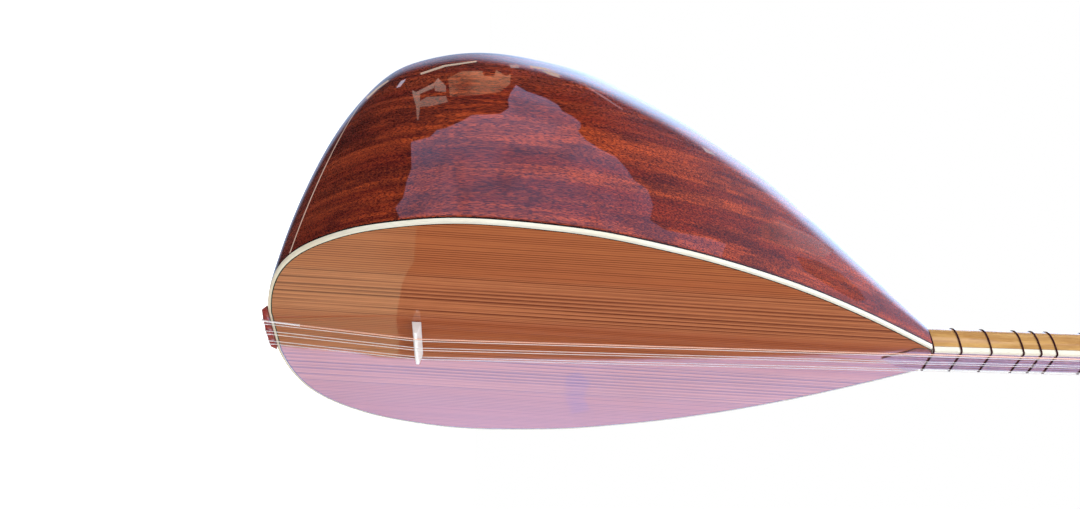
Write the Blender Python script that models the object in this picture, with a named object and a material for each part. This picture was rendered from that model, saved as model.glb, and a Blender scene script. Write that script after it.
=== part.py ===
"""Divan saz: a long-necked lute with a carved bowl, tied frets and three pairs of strings.

The script builds every piece as its own closed solid. Sizes below are in millimetres and are
scaled to metres when a mesh is made. The instrument hangs upright: +Z runs up the neck, the
soundboard faces -Y, and the origin lies on the flat back of the peg head, where a hanger holds it.

Two frames are used while modelling. The neck frame has its zero at the neck joint, at the level
of the soundboard's face. The body frame leans from it by NECK_LEAN, the small angle at which the
neck is set back so that the strings stay low over the frets.
"""

import math

import bmesh
import bpy
from mathutils import Matrix, Vector
from mathutils.geometry import tessellate_polygon

MM = 0.001
FIT = 0.3

# Body
BODY_LENGTH = 510.5
BODY_WIDTH = 303.6
BODY_DEPTH = 260.8
BODY_WALL = 8.0
TAIL_WALL = 14.0
HEEL_LENGTH = 45.0
BODY_END = 2.9
BODY_ROUND = 2.2
TAIL_FLAT = 0.05
BOARD_THICKNESS = 4.0

# Station by station along the body, tail to joint: root of the travelled share of the length,
# share of the full half width, share of the full depth. The last one is the neck joint itself.
STATIONS = (
    (0.00, 0.000, 0.000),
    (0.10, 0.347, 0.014),
    (0.20, 0.606, 0.392),
    (0.30, 0.782, 0.722),
    (0.42, 0.927, 0.946),
    (0.55, 1.000, 1.000),
    (0.66, 0.966, 0.957),
    (0.76, 0.850, 0.830),
    (0.86, 0.636, 0.609),
    (0.94, 0.368, 0.324),
)

# Edge strips round the soundboard
EDGE_WIDTH = 2.2
EDGE_HEIGHT = 3.0
EDGE_ROUND = 0.9
UNDER_HEIGHT = 0.8
LINE_WIDTH = 0.7
STRIP_GAP = 0.2

# Tail block with its light seam line and the sound hole
SEAM_FROM_TAIL = 25.0
SEAM_SLOPE = 0.22
SEAM_LINE = 1.0
HOLE_RADIUS = 14.0
HOLE_DEPTH = 72.0

# Braces under the soundboard, placed at shares of the body's length from the joint
BRACE_UPPER_SHARE = 0.321
BRACE_LOWER_SHARE = 0.584
BRACE_WIDTH = 8.0
BRACE_HEIGHT = 12.0

# Neck, fingerboard and nut. The maker's rule ties the sounding string, from bridge to nut, to the
# length of the body, and the bridge stands at a share of the string's length from the neck joint.
STRING_PER_BODY = 2.047
BRIDGE_SHARE = 0.3812
NECK_LEAN = math.radians(1.1)
NECK_START = -2.0
NECK_WIDTH_JOINT = 30.4
NECK_WIDTH_NUT = 25.0
NECK_DEPTH_JOINT = 28.0
NECK_DEPTH_NUT = 22.0
NECK_ROUND = 2.2
FINGERBOARD_THICKNESS = 4.0
FINGERBOARD_RISE = 1.0
NECK_EDGE_WIDTH = 3.0
NECK_EDGE_ROUND = 1.5
TENON_WIDTH = 16.0
TENON_HEIGHT = 13.0
TENON_LENGTH = 36.0
TENON_INSET = 9.0
NUT_THICKNESS = 4.4
NUT_RISE = 2.9

# Tongue of the fingerboard on the soundboard: distance past the joint, half width
TONGUE_THICKNESS = 0.7
TONGUE = (
    (2.3, 12.8),
    (5.0, 15.2),
    (9.0, 16.6),
    (14.0, 16.6),
    (18.0, 14.6),
    (21.0, 11.6),
    (25.0, 8.9),
    (29.0, 6.6),
    (33.0, 3.7),
    (37.0, 0.4),
)

# Tied frets
FRET_WIDTH = 1.4
FRET_THICKNESS = 0.8
LAST_FRET_Z = -1.1
FRET_CENTS = (
    96, 150, 198, 294, 345, 392, 492, 590, 640, 690, 790,
    845, 895, 992, 1060, 1100, 1200, 1296, 1340, 1391, 1487, 1582,
)

# Peg head and pegs
HEAD_LENGTH = 183.0
HEAD_WIDTH = 27.0
HEAD_TIP_WIDTH = 20.0
HEAD_FRONT = 4.0
HEAD_THICKNESS = 17.0
HEAD_EDGE = 2.0
HEAD_TENON_WIDTH = 11.0
HEAD_TENON_HEIGHT = 8.0
HEAD_TENON_LENGTH = 20.0
HANG_FROM_NUT = 106.0
PEG_FIRST = 35.0
PEG_PITCH = 17.5
PEG_RADIUS = 3.6
PEG_TIP_RADIUS = 3.0
PEG_SIDE_TIP = 3.0
PEG_FRONT_SUNK = 0.6
SIDE_PEG_INSET = 6.5
COLLAR_RADIUS = 5.0
COLLAR_LENGTH = 2.0
STEM_LENGTH = 6.0
HANDLE_SPAN = 26.0
HANDLE_THICKNESS = 8.0
HANDLE_LENGTH = 11.0
WINDING_LENGTH = 6.0
WINDING_LAYER = 1.0

# Bridge and tailpiece
BRIDGE_LENGTH = 47.0
BRIDGE_BASE = 6.9
BRIDGE_RIDGE = 2.2
BRIDGE_HEIGHT = 10.8
NOTCH_DEPTH = 1.3
TAILPIECE_BASS_REACH = 32.0
TAILPIECE_TREBLE_REACH = 25.0
TAILPIECE_CORNER = 3.6
TAILPIECE_THICKNESS = 5.0
TAILPIECE_RISE = 1.5
TAILPIECE_DROP = 3.7
TAILPIECE_FOOT = 0.9
TAILPIECE_BEVEL = 0.6
TAILPIECE_BOW = 1.4
GROOVE_DEPTH = 0.9
TOOTH_DROP = 1.9
TOOTH_SIZE = 2.0

# Strings: one wound string, then plain ones
WOUND_DIAMETER = 1.0
PLAIN_DIAMETER = 0.5
PAIR_PITCH_TAIL = 14.6
PAIR_PITCH_BRIDGE = 13.5
PAIR_PITCH_NUT = 8.0
PAIR_GAP_TAIL = 4.7
PAIR_GAP_BRIDGE = 3.5
PAIR_GAP_NUT = 2.6

# Derived levels
STRING_LENGTH = STRING_PER_BODY * BODY_LENGTH
BRIDGE_FROM_JOINT = BRIDGE_SHARE * STRING_LENGTH
SEAM_Z = SEAM_FROM_TAIL - BODY_LENGTH
NUT_Z = STRING_LENGTH - BRIDGE_FROM_JOINT
RIM_LEVEL = BOARD_THICKNESS + FIT
FINGER_TOP = -FINGERBOARD_RISE
FINGER_BOTTOM = FINGER_TOP + FINGERBOARD_THICKNESS
NECK_TOP = FINGER_BOTTOM + FIT
NECK_END = NUT_Z + NUT_THICKNESS + 1.0
HEAD_START = NECK_END + FIT
HEAD_BACK = HEAD_FRONT + HEAD_THICKNESS
ORIGIN = Vector((0.0, HEAD_BACK, NUT_Z + HANG_FROM_NUT))
LEAN = Matrix.Rotation(NECK_LEAN, 3, "X")


def clear_scene():
    """Remove whatever the scene holds."""
    for obj in list(bpy.data.objects):
        bpy.data.objects.remove(obj, do_unlink=True)


def material(name, colour, roughness, metallic=0.0):
    """A Principled material with the piece's own colour."""
    mat = bpy.data.materials.new(name)
    mat.use_nodes = True
    shader = mat.node_tree.nodes["Principled BSDF"]
    shader.inputs["Base Color"].default_value = (*colour, 1.0)
    shader.inputs["Roughness"].default_value = roughness
    shader.inputs["Metallic"].default_value = metallic
    mat.diffuse_color = (*colour, 1.0)
    return mat


def lean(point):
    """Body frame to neck frame."""
    return LEAN @ Vector(point)


def world(point):
    """Neck frame in millimetres to the part's frame in metres."""
    return (Vector(point) - ORIGIN) * MM


def solid(name, points, faces, colour=None, in_body=False, pivot=None, helper=False):
    """Make one object from points in millimetres.

    The mesh is stored about pivot, a point in the neck frame, which becomes the object's origin.
    """
    base = world(pivot) if pivot is not None else Vector((0.0, 0.0, 0.0))
    placed = [world(lean(p) if in_body else p) - base for p in points]
    mesh = bpy.data.meshes.new(name)
    mesh.from_pydata([tuple(p) for p in placed], [], faces)
    bm = bmesh.new()
    bm.from_mesh(mesh)
    bmesh.ops.recalc_face_normals(bm, faces=bm.faces)
    bm.to_mesh(mesh)
    bm.free()
    obj = bpy.data.objects.new(name, mesh)
    obj.location = base
    bpy.context.scene.collection.objects.link(obj)
    if helper:
        obj.hide_render = True
        obj.display_type = "WIRE"
    else:
        mesh.materials.append(material(name, *colour))
        mesh.shade_smooth()
        mesh.set_sharp_from_angle(angle=math.radians(32))
    return obj


def boolean(target, cutter, operation="DIFFERENCE"):
    """Add an exact Boolean with cutter to target."""
    mod = target.modifiers.new(operation.title() + " " + cutter.name, "BOOLEAN")
    mod.operation = operation
    mod.solver = "EXACT"
    mod.object = cutter


def loft(rings):
    """Points and faces of a closed solid through rings of equally many points."""
    count = len(rings[0])
    points = [p for ring in rings for p in ring]
    faces = []
    for i in range(len(rings) - 1):
        for j in range(count):
            k = (j + 1) % count
            faces.append((i * count + j, i * count + k, (i + 1) * count + k, (i + 1) * count + j))
    last = (len(rings) - 1) * count
    faces.append(tuple(range(count)))
    faces.append(tuple(range(last, last + count)))
    return points, faces


def box(x0, x1, y0, y1, z0, z1):
    """Points and faces of a box."""
    return loft([[(x0, y0, z), (x1, y0, z), (x1, y1, z), (x0, y1, z)] for z in (z0, z1)])


def merged(shapes):
    """Several closed shapes as one list of points and faces."""
    points, faces = [], []
    for some_points, some_faces in shapes:
        start = len(points)
        points += some_points
        faces += [tuple(start + i for i in face) for face in some_faces]
    return points, faces


def monotone(xs, ys, x):
    """Smooth monotone cubic through the stations, without overshoot."""
    steps = [xs[i + 1] - xs[i] for i in range(len(xs) - 1)]
    slopes = [(ys[i + 1] - ys[i]) / steps[i] for i in range(len(steps))]
    tangents = [slopes[0]]
    for i in range(1, len(slopes)):
        a, b = slopes[i - 1], slopes[i]
        w1, w2 = 2 * steps[i] + steps[i - 1], steps[i] + 2 * steps[i - 1]
        tangents.append(0.0 if a * b <= 0 else (w1 + w2) / (w1 / a + w2 / b))
    tangents.append(slopes[-1])
    i = max(0, min(len(steps) - 1, sum(1 for v in xs[1:] if v < x)))
    h = steps[i]
    t = (x - xs[i]) / h
    return (
        ys[i] * (1 + 2 * t) * (1 - t) ** 2
        + tangents[i] * h * t * (1 - t) ** 2
        + ys[i + 1] * t * t * (3 - 2 * t)
        + tangents[i + 1] * h * t * t * (t - 1)
    )


ROOTS = [s[0] for s in STATIONS] + [1.0]
HALF_WIDTHS = [s[1] * BODY_WIDTH / 2 for s in STATIONS] + [NECK_WIDTH_JOINT / 2 + 1.0]
DEPTHS = [s[2] * BODY_DEPTH for s in STATIONS] + [NECK_DEPTH_JOINT - FINGERBOARD_RISE]
JOINT_ROOT = math.sqrt(1 - BODY_END / BODY_LENGTH)


def body_z(u):
    """Height of a body station in the body frame."""
    return -BODY_LENGTH * (1 - u * u)


def half_width(u):
    return monotone(ROOTS, HALF_WIDTHS, u)


def depth(u):
    return max(RIM_LEVEL + 0.5, monotone(ROOTS, DEPTHS, u))


def bowl_ring(u, shrink, top, steps, z=None):
    """A bowl cross-section: a rounded U, shrunk by a wall, with its rim raised to top."""
    wide = half_width(u) - shrink
    deep = depth(u) - shrink
    z = body_z(u) if z is None else z
    ring = []
    if top < RIM_LEVEL:
        ring += [(-wide, top, z), (wide, top, z)]
    for i in range(steps + 1):
        angle = math.pi * i / steps
        c, s = math.cos(angle), math.sin(angle)
        x = math.copysign(wide * abs(c) ** (2 / BODY_ROUND), c)
        y = RIM_LEVEL + (deep - RIM_LEVEL) * abs(s) ** (2 / BODY_ROUND)
        ring.append((x if abs(c) > 1e-9 else 0.0, y, z))
    return ring


def hollow_rings(stations=24, steps=14):
    """Sections of the bowl's hollow, from the tail wall to the heel."""
    length = BODY_LENGTH - TAIL_WALL
    first = next(u / 1000 for u in range(1000) if depth(u / 1000) > RIM_LEVEL + BODY_WALL + 5.0)
    last = math.sqrt(1 - HEEL_LENGTH / length)
    roots = [first + (last - first) * i / (stations - 1) for i in range(stations)]
    return [bowl_ring(u, BODY_WALL, RIM_LEVEL, steps, -length * (1 - u * u)) for u in roots]


def shell(stations=34, steps=20):
    """The carved shell: its outside, its hollow, and the flat rim that joins them."""
    roots = [TAIL_FLAT + (JOINT_ROOT - TAIL_FLAT) * i / (stations - 1) for i in range(stations)]
    points, faces, rim_loops, rim_index = [], [], [], []
    for rings in ([bowl_ring(u, 0.0, RIM_LEVEL, steps) for u in roots], hollow_rings()):
        start, count = len(points), len(rings[0])
        points += [p for ring in rings for p in ring]
        for i in range(len(rings) - 1):
            for j in range(count - 1):
                a = start + i * count + j
                faces.append((a, a + 1, a + count + 1, a + count))
        last = start + (len(rings) - 1) * count
        faces.append(tuple(range(start, start + count)))
        faces.append(tuple(range(last, last + count)))
        loop = [start + i * count for i in range(len(rings))]
        loop += [start + i * count + count - 1 for i in reversed(range(len(rings)))]
        rim_index += loop
        rim_loops.append([Vector((points[i][0], points[i][2], 0.0)) for i in loop])
    faces += [tuple(rim_index[i] for i in triple) for triple in tessellate_polygon(rim_loops)]
    return points, faces


def outline(inset, count=25):
    """The body's outline in its own plane, from the joint round the tail and back, set inwards."""
    roots = [JOINT_ROOT + (TAIL_FLAT - JOINT_ROOT) * i / (count - 1) for i in range(count)]
    side = []
    for u in roots:
        e = 1e-4
        dx = half_width(u + e) - half_width(u - e)
        dz = body_z(u + e) - body_z(u - e)
        size = math.hypot(dx, dz)
        x = half_width(u) - inset * dz / size
        z = body_z(u) + inset * dx / size
        side.append([x, z])
    end = -BODY_END
    (x0, z0), (x1, z1) = side[0], side[1]
    side[0] = [x0 + (end - z0) * (x1 - x0) / (z1 - z0), end]
    flat = body_z(TAIL_FLAT) + inset
    side = [p for p in side if p[1] > flat + 0.4]
    (x0, z0), (x1, z1) = side[-2], side[-1]
    x = x1 + (flat - z1) * (x1 - x0) / (z1 - z0)
    side.append([max(x, 5.0), flat])
    return side + [[-x, z] for x, z in reversed(side)]


def strip(name, colour, outer, inner, top, bottom, rounding=0.0):
    """A strip that runs round the soundboard between two insets."""
    out_line, in_line = outline(outer), outline(inner)
    count = min(len(out_line), len(in_line))
    half = count // 2
    out_line = out_line[: half - 1] + [out_line[len(out_line) // 2 - 1]] + mirrored_tail(out_line, half)
    in_line = in_line[: half - 1] + [in_line[len(in_line) // 2 - 1]] + mirrored_tail(in_line, half)
    soft_line = outline(outer + rounding)
    soft_line = soft_line[: half - 1] + [soft_line[len(soft_line) // 2 - 1]] + mirrored_tail(soft_line, half)
    rings = []
    for (xo, zo), (xi, zi), (xs, zs) in zip(out_line, in_line, soft_line):
        ring = [(xi, top, zi), (xi, bottom, zi), (xo, bottom, zo)]
        if rounding:
            ring += [(xo, top + rounding, zo), (xs, top, zs)]
        else:
            ring += [(xo, top, zo)]
        rings.append(ring)
    return solid(name, *loft(rings), colour, in_body=True)


def mirrored_tail(line, half):
    """The second half of an outline, as the mirror of the first."""
    first = line[: half - 1] + [line[len(line) // 2 - 1]]
    return [[-x, z] for x, z in reversed(first)]


def make_body():
    """Bowl, tail block and seam line from one shell, then the soundboard and its strips."""
    reach = BODY_WIDTH
    high = BODY_DEPTH + 40

    def slab(name, low, top):
        """A sloped slice across the body between two offsets from the seam."""
        rings = []
        for y in (-20.0, high):
            z = SEAM_Z + SEAM_SLOPE * y
            rings.append([(-reach, y, z + low), (reach, y, z + low), (reach, y, z + top), (-reach, y, z + top)])
        return solid(name, *loft(rings), in_body=True, helper=True)

    mortise = solid(
        "cut_mortise",
        *box(
            -TENON_WIDTH / 2 - FIT, TENON_WIDTH / 2 + FIT, TENON_INSET - FIT,
            TENON_INSET + TENON_HEIGHT + FIT, -TENON_LENGTH - FIT, 5.0,
        ),
        helper=True,
    )
    hole_end = SEAM_Z + SEAM_SLOPE * (HOLE_DEPTH + HOLE_RADIUS)
    hole = solid("cut_sound_hole", *turned([(HOLE_RADIUS, -BODY_LENGTH - 20), (HOLE_RADIUS, hole_end)], 20,
                                           (0.0, HOLE_DEPTH, 0.0), "Z"), in_body=True, helper=True)
    wood = ((0.23, 0.055, 0.03), 0.12)
    line = ((0.86, 0.80, 0.66), 0.3)
    half_line = SEAM_LINE / 2
    slices = (
        ("bowl", wood, half_line + STRIP_GAP, 2 * BODY_LENGTH),
        ("tail_filet", line, -half_line, half_line),
        ("tail_block", ((0.15, 0.03, 0.018), 0.14), -BODY_LENGTH, -half_line - STRIP_GAP),
    )
    for name, colour, low, top in slices:
        piece = solid(name, *shell(), colour, in_body=True)
        boolean(piece, slab("cut_" + name, low, top), "INTERSECT")
        if name == "bowl":
            boolean(piece, mortise)
        if name == "tail_block":
            boolean(piece, hole)

    cream = ((0.90, 0.86, 0.74), 0.28)
    black = ((0.03, 0.02, 0.02), 0.3)
    strip("edge_binding", cream, 0.0, EDGE_WIDTH, 0.0, EDGE_HEIGHT, EDGE_ROUND)
    under_top = EDGE_HEIGHT + STRIP_GAP
    strip("outer_purfling", black, 0.0, EDGE_WIDTH, under_top, under_top + UNDER_HEIGHT)
    line_at = EDGE_WIDTH + STRIP_GAP
    strip("inner_purfling", black, line_at, line_at + LINE_WIDTH, 0.0, BOARD_THICKNESS)
    board_at = line_at + LINE_WIDTH + STRIP_GAP
    plan = outline(board_at)
    rings = [[(x, y, z) for x, z in plan] for y in (0.0, BOARD_THICKNESS)]
    solid("soundboard", *loft(rings), ((0.42, 0.19, 0.10), 0.25), in_body=True)

    for name, share in (("brace_upper", BRACE_UPPER_SHARE), ("brace_lower", BRACE_LOWER_SHARE)):
        z = -share * BODY_LENGTH
        lows, tops = [], []
        y0, y1 = RIM_LEVEL, RIM_LEVEL + BRACE_HEIGHT
        for side in (-1, 1):
            zs = z + side * BRACE_WIDTH / 2
            u = math.sqrt(1 + zs / (BODY_LENGTH - TAIL_WALL))
            deep = (y1 - RIM_LEVEL) / (depth(u) - BODY_WALL - RIM_LEVEL)
            narrow = (1 - deep ** BODY_ROUND) ** (1 / BODY_ROUND)
            x = (half_width(u) - BODY_WALL) * narrow - 5 * FIT
            lows.append((x, zs))
            tops.append((x, zs))
        plan = [(lows[0][0], lows[0][1]), (lows[1][0], lows[1][1]), (-lows[1][0], lows[1][1]), (-lows[0][0], lows[0][1])]
        rings = [[(x, y, zz) for x, zz in plan] for y in (y0, y1)]
        solid(name, *loft(rings), ((0.62, 0.45, 0.27), 0.6), in_body=True)


def turned(profile, sides, centre, axis):
    """A turned solid: profile rows are radius, or a pair of radii, and distance along the axis."""
    rings = []
    for radius, along in profile:
        ra, rb = radius if isinstance(radius, tuple) else (radius, radius)
        ring = []
        for i in range(sides):
            a = 2 * math.pi * (i + 0.5) / sides
            p, q = ra * math.cos(a), rb * math.sin(a)
            if axis == "Z":
                ring.append((centre[0] + p, centre[1] + q, centre[2] + along))
            elif axis == "Y":
                ring.append((centre[0] + p, centre[1] + along, centre[2] + q))
            else:
                ring.append((centre[0] + along, centre[1] + q, centre[2] + p))
        rings.append(ring)
    return loft(rings)


def along_neck(z, joint, nut):
    """A neck size between its values at the joint and at the nut."""
    return joint + (nut - joint) * z / NUT_Z


def neck_half(z):
    return along_neck(z, NECK_WIDTH_JOINT, NECK_WIDTH_NUT) / 2


def neck_back(z):
    return along_neck(z, NECK_DEPTH_JOINT, NECK_DEPTH_NUT) - FINGERBOARD_RISE


def neck_curve(z, steps):
    """The neck's rounded back from one side of the fingerboard to the other."""
    a, b = neck_half(z), neck_back(z) - NECK_TOP
    curve = []
    for i in range(steps + 1):
        angle = math.pi * i / steps
        c, s = math.cos(angle), math.sin(angle)
        x = math.copysign(a * abs(c) ** (2 / NECK_ROUND), c) if abs(c) > 1e-9 else 0.0
        curve.append((x, NECK_TOP + b * abs(s) ** (2 / NECK_ROUND)))
    return curve


def make_neck():
    """Neck with its tenon, fingerboard with its tongue, edge strips and nut."""
    rings = [[(x, y, z) for x, y in neck_curve(z, 14)] for z in (NECK_START, NUT_Z / 3, 2 * NUT_Z / 3, NECK_END)]
    neck = solid("neck", *loft(rings), ((0.58, 0.35, 0.15), 0.25))
    tenon = solid(
        "join_tenon",
        *box(
            -TENON_WIDTH / 2, TENON_WIDTH / 2, TENON_INSET, TENON_INSET + TENON_HEIGHT,
            -TENON_LENGTH, NECK_START + 8.0,
        ),
        helper=True,
    )
    boolean(neck, tenon, "UNION")
    mid = (HEAD_FRONT + HEAD_BACK) / 2
    socket = solid(
        "cut_head_socket",
        *box(
            -HEAD_TENON_WIDTH / 2 - FIT, HEAD_TENON_WIDTH / 2 + FIT, mid - HEAD_TENON_HEIGHT / 2 - FIT,
            mid + HEAD_TENON_HEIGHT / 2 + FIT, NECK_END - HEAD_TENON_LENGTH - FIT, NECK_END + 5,
        ),
        helper=True,
    )
    boolean(neck, socket)

    def board_ring(z, half, top, bottom, body):
        ring = [(-half, top, z), (half, top, z), (half, bottom, z), (-half, bottom, z)]
        return [tuple(lean(p)) for p in ring] if body else ring

    inner = NECK_EDGE_WIDTH + FIT
    rings = [
        board_ring(NUT_Z - FIT, neck_half(NUT_Z) - inner, FINGER_TOP, FINGER_BOTTOM, False),
        board_ring(NECK_START, neck_half(0) - inner, FINGER_TOP, FINGER_BOTTOM, False),
    ]
    tongue_top = -FIT - TONGUE_THICKNESS
    rings += [board_ring(-past, half, tongue_top, -FIT, True) for past, half in TONGUE]
    solid("fingerboard", *loft(rings), ((0.10, 0.045, 0.035), 0.22))

    for side, name in ((-1, "neck_binding_bass"), (1, "neck_binding_treble")):
        rings = []
        for z in (NECK_START, NUT_Z - FIT):
            a = neck_half(z)
            b = a - NECK_EDGE_WIDTH
            c = NECK_EDGE_ROUND
            ring = [
                (b, FINGER_TOP), (a - c, FINGER_TOP), (a - 0.3 * c, FINGER_TOP + 0.3 * c),
                (a, FINGER_TOP + c), (a, FINGER_BOTTOM), (b, FINGER_BOTTOM),
            ]
            rings.append([(side * x, y, z) for x, y in ring])
        solid(name, *loft(rings), ((0.90, 0.86, 0.74), 0.28))

    a = neck_half(NUT_Z)
    top = FINGER_TOP - NUT_RISE
    rings = []
    for x in (-a, a):
        rings.append([
            (x, FINGER_BOTTOM, NUT_Z), (x, top, NUT_Z),
            (x, top + 1.2, NUT_Z + NUT_THICKNESS), (x, FINGER_BOTTOM, NUT_Z + NUT_THICKNESS),
        ])
    nut = solid("nut", *loft(rings), ((0.88, 0.84, 0.74), 0.3))
    return nut


def offset_loop(points, distance):
    """A closed loop moved outwards by a distance, with mitred corners."""
    area = sum(points[i - 1][0] * p[1] - p[0] * points[i - 1][1] for i, p in enumerate(points))
    turn = 1.0 if area > 0 else -1.0
    moved = []
    for i, (x, y) in enumerate(points):
        (xa, ya), (xb, yb) = points[i - 1], points[(i + 1) % len(points)]
        normals = []
        for dx, dy in ((x - xa, y - ya), (xb - x, yb - y)):
            size = math.hypot(dx, dy)
            normals.append((turn * dy / size, -turn * dx / size))
        nx, ny = normals[0][0] + normals[1][0], normals[0][1] + normals[1][1]
        scale = distance * 2 / (nx * nx + ny * ny)
        moved.append((x + nx * scale, y + ny * scale))
    return moved


def fret_heights():
    """Heights of the frets in the neck frame, nut end first, from their interval above the open string."""
    heights = [NUT_Z - STRING_LENGTH * (1 - 2 ** (-cents / 1200)) for cents in FRET_CENTS]
    return heights + [LAST_FRET_Z]


def make_frets():
    """One closed band of gut line round the neck for each fret."""
    for number, z in enumerate(fret_heights(), 1):
        a, c = neck_half(z), NECK_EDGE_ROUND
        corner = [(a - c, FINGER_TOP), (a - 0.3 * c, FINGER_TOP + 0.3 * c), (a, FINGER_TOP + c)]
        loop = corner + neck_curve(z, 12) + [(-x, y) for x, y in reversed(corner)]
        inside = offset_loop(loop, FIT)
        outside = offset_loop(loop, FIT + FRET_THICKNESS)
        low, high = z - FRET_WIDTH / 2, z + FRET_WIDTH / 2
        count = len(loop)
        points, faces = [], []
        for (xi, yi), (xo, yo) in zip(inside, outside):
            points += [(xi, yi, low), (xo, yo, low), (xo, yo, high), (xi, yi, high)]
        for i in range(count):
            j = (i + 1) % count
            for k in range(4):
                m = (k + 1) % 4
                faces.append((4 * i + k, 4 * i + m, 4 * j + m, 4 * j + k))
        name = f"fret_{number:02d}"
        solid(name, points, faces, ((0.16, 0.03, 0.03), 0.45), pivot=(0.0, 0.0, z))


def head_half(z):
    """Half width of the peg head, from the neck's width through its widest place to the tip."""
    wide_at = HEAD_START + 12.0
    if z < wide_at:
        return neck_half(NUT_Z) + (HEAD_WIDTH / 2 - neck_half(NUT_Z)) * (z - HEAD_START) / (wide_at - HEAD_START)
    share = (z - wide_at) / (HEAD_START + HEAD_LENGTH - wide_at)
    return HEAD_WIDTH / 2 + (HEAD_TIP_WIDTH - HEAD_WIDTH) / 2 * share


def peg_places():
    """For each string: the peg's row, its height, and the side of the winding where the string ends."""
    first = NUT_Z + PEG_FIRST
    return (
        ("side", first, 0), ("side", first + 2 * PEG_PITCH, 0), ("side", first + 4 * PEG_PITCH, 0),
        ("front", first + PEG_PITCH, -1), ("front", first + 3 * PEG_PITCH, 1), ("front", first + 5 * PEG_PITCH, 1),
    )


def side_peg_level():
    return HEAD_FRONT + SIDE_PEG_INSET


def make_head():
    """Peg head with its tenon and holes, the six pegs and the wound string on each."""
    tip = HEAD_START + HEAD_LENGTH
    e = HEAD_EDGE
    rings = []
    for z, shrink in (
        (HEAD_START, 0.0), (HEAD_START + 12.0, 0.0), (tip - 14.0, 0.0), (tip - 4.0, 1.2), (tip, 4.0),
    ):
        a = head_half(z) - shrink
        f, b = HEAD_FRONT + shrink, HEAD_BACK - (shrink if shrink > 2 else 0.0)
        ring = [(-a + e, f), (a - e, f), (a, f + e), (a, b - e), (a - e, b), (-a + e, b), (-a, b - e), (-a, f + e)]
        rings.append([(x, y, z) for x, y in ring])
    head = solid("peg_head", *loft(rings), ((0.20, 0.05, 0.03), 0.2))
    mid = (HEAD_FRONT + HEAD_BACK) / 2
    tenon = solid(
        "join_head_tenon",
        *box(
            -HEAD_TENON_WIDTH / 2, HEAD_TENON_WIDTH / 2, mid - HEAD_TENON_HEIGHT / 2,
            mid + HEAD_TENON_HEIGHT / 2, NECK_END - HEAD_TENON_LENGTH, HEAD_START + 6,
        ),
        helper=True,
    )
    boolean(head, tenon, "UNION")

    holes = []
    level = side_peg_level()
    for number, (row, z, _) in enumerate(peg_places(), 1):
        side = row == "side"
        face = -head_half(z) if side else HEAD_FRONT
        tip_at = head_half(z) + PEG_SIDE_TIP if side else HEAD_BACK - PEG_FRONT_SUNK
        sleeve = face - FIT - WINDING_LENGTH
        collar = sleeve - FIT - COLLAR_LENGTH
        grip = collar - STEM_LENGTH
        end = grip - HANDLE_LENGTH
        centre = (0.0, level, z) if side else (0.0, 0.0, z)
        axis = "X" if side else "Y"
        long_way = HANDLE_SPAN / 2
        thick = HANDLE_THICKNESS / 2
        flip = (long_way, thick) if side else (thick, long_way)
        shoulder = (long_way * 0.8, thick * 0.9) if side else (thick * 0.9, long_way * 0.8)
        profile = [
            (PEG_TIP_RADIUS, tip_at), (PEG_RADIUS, face), (PEG_RADIUS, sleeve - FIT), (COLLAR_RADIUS, sleeve - FIT),
            (COLLAR_RADIUS, collar), (PEG_TIP_RADIUS, collar - 1.5), (PEG_TIP_RADIUS + 0.4, grip + 1.0),
            (shoulder, grip), (flip, grip - HANDLE_LENGTH * 0.4), (shoulder, end + 1.0), (tuple(0.7 * v for v in shoulder), end),
        ]
        pivot = (face, level, z) if side else (0.0, face, z)
        wood = ((0.12, 0.035, 0.025), 0.3)
        solid(f"peg_{number}", *turned(profile, 12, centre, axis), wood, pivot=pivot)
        widen = [(PEG_TIP_RADIUS + FIT, tip_at + 3), (PEG_TIP_RADIUS + FIT, tip_at), (PEG_RADIUS + FIT, face),
                 (PEG_RADIUS + FIT, face - 3)]
        holes.append(turned(widen, 12, centre, axis))
        inner, outer = PEG_RADIUS + FIT, PEG_RADIUS + FIT + WINDING_LAYER
        start, stop = face - FIT, sleeve
        tube = tube_shape(inner, outer, start, stop, centre, axis)
        colour = ((0.45, 0.2, 0.1), 0.35, 0.9) if number == 1 else ((0.6, 0.6, 0.6), 0.3, 1.0)
        solid(f"winding_{number}", *tube, colour, pivot=pivot)
    boolean(head, solid("cut_peg_holes", *merged(holes), helper=True))


def tube_shape(inner, outer, start, stop, centre, axis, sides=12):
    """A plain sleeve along an axis."""
    one, _ = turned([(inner, start), (outer, start), (outer, stop), (inner, stop)], sides, centre, axis)
    faces = []
    for ring in range(4):
        other = (ring + 1) % 4
        for i in range(sides):
            j = (i + 1) % sides
            faces.append((ring * sides + i, ring * sides + j, other * sides + j, other * sides + i))
    return one, faces


def string_offsets(pitch, gap):
    """Sideways places of the six strings, bass side first, in three pairs."""
    return [pair * pitch + half * gap / 2 for pair in (-1, 0, 1) for half in (-1, 1)]


def string_radius(number):
    return (WOUND_DIAMETER if number == 1 else PLAIN_DIAMETER) / 2


def bridge_string_level(number):
    """Height of a string's axis at the bridge, in the body frame."""
    return -BRIDGE_HEIGHT - FIT + NOTCH_DEPTH - FIT - string_radius(number)


def nut_string_level(number):
    return FINGER_TOP - NUT_RISE + NOTCH_DEPTH - FIT - string_radius(number)


def tail_string_level(number):
    return -TAILPIECE_RISE + GROOVE_DEPTH - FIT - string_radius(number)


def notch_row(places, bottoms, z0, z1, top, side_room=FIT):
    """A row of square notches for the strings."""
    cuts = []
    for number, (x, y) in enumerate(zip(places, bottoms), 1):
        w = string_radius(number) + side_room
        cuts.append(box(x - w, x + w, top, y, z0, z1))
    return merged(cuts)


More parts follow.
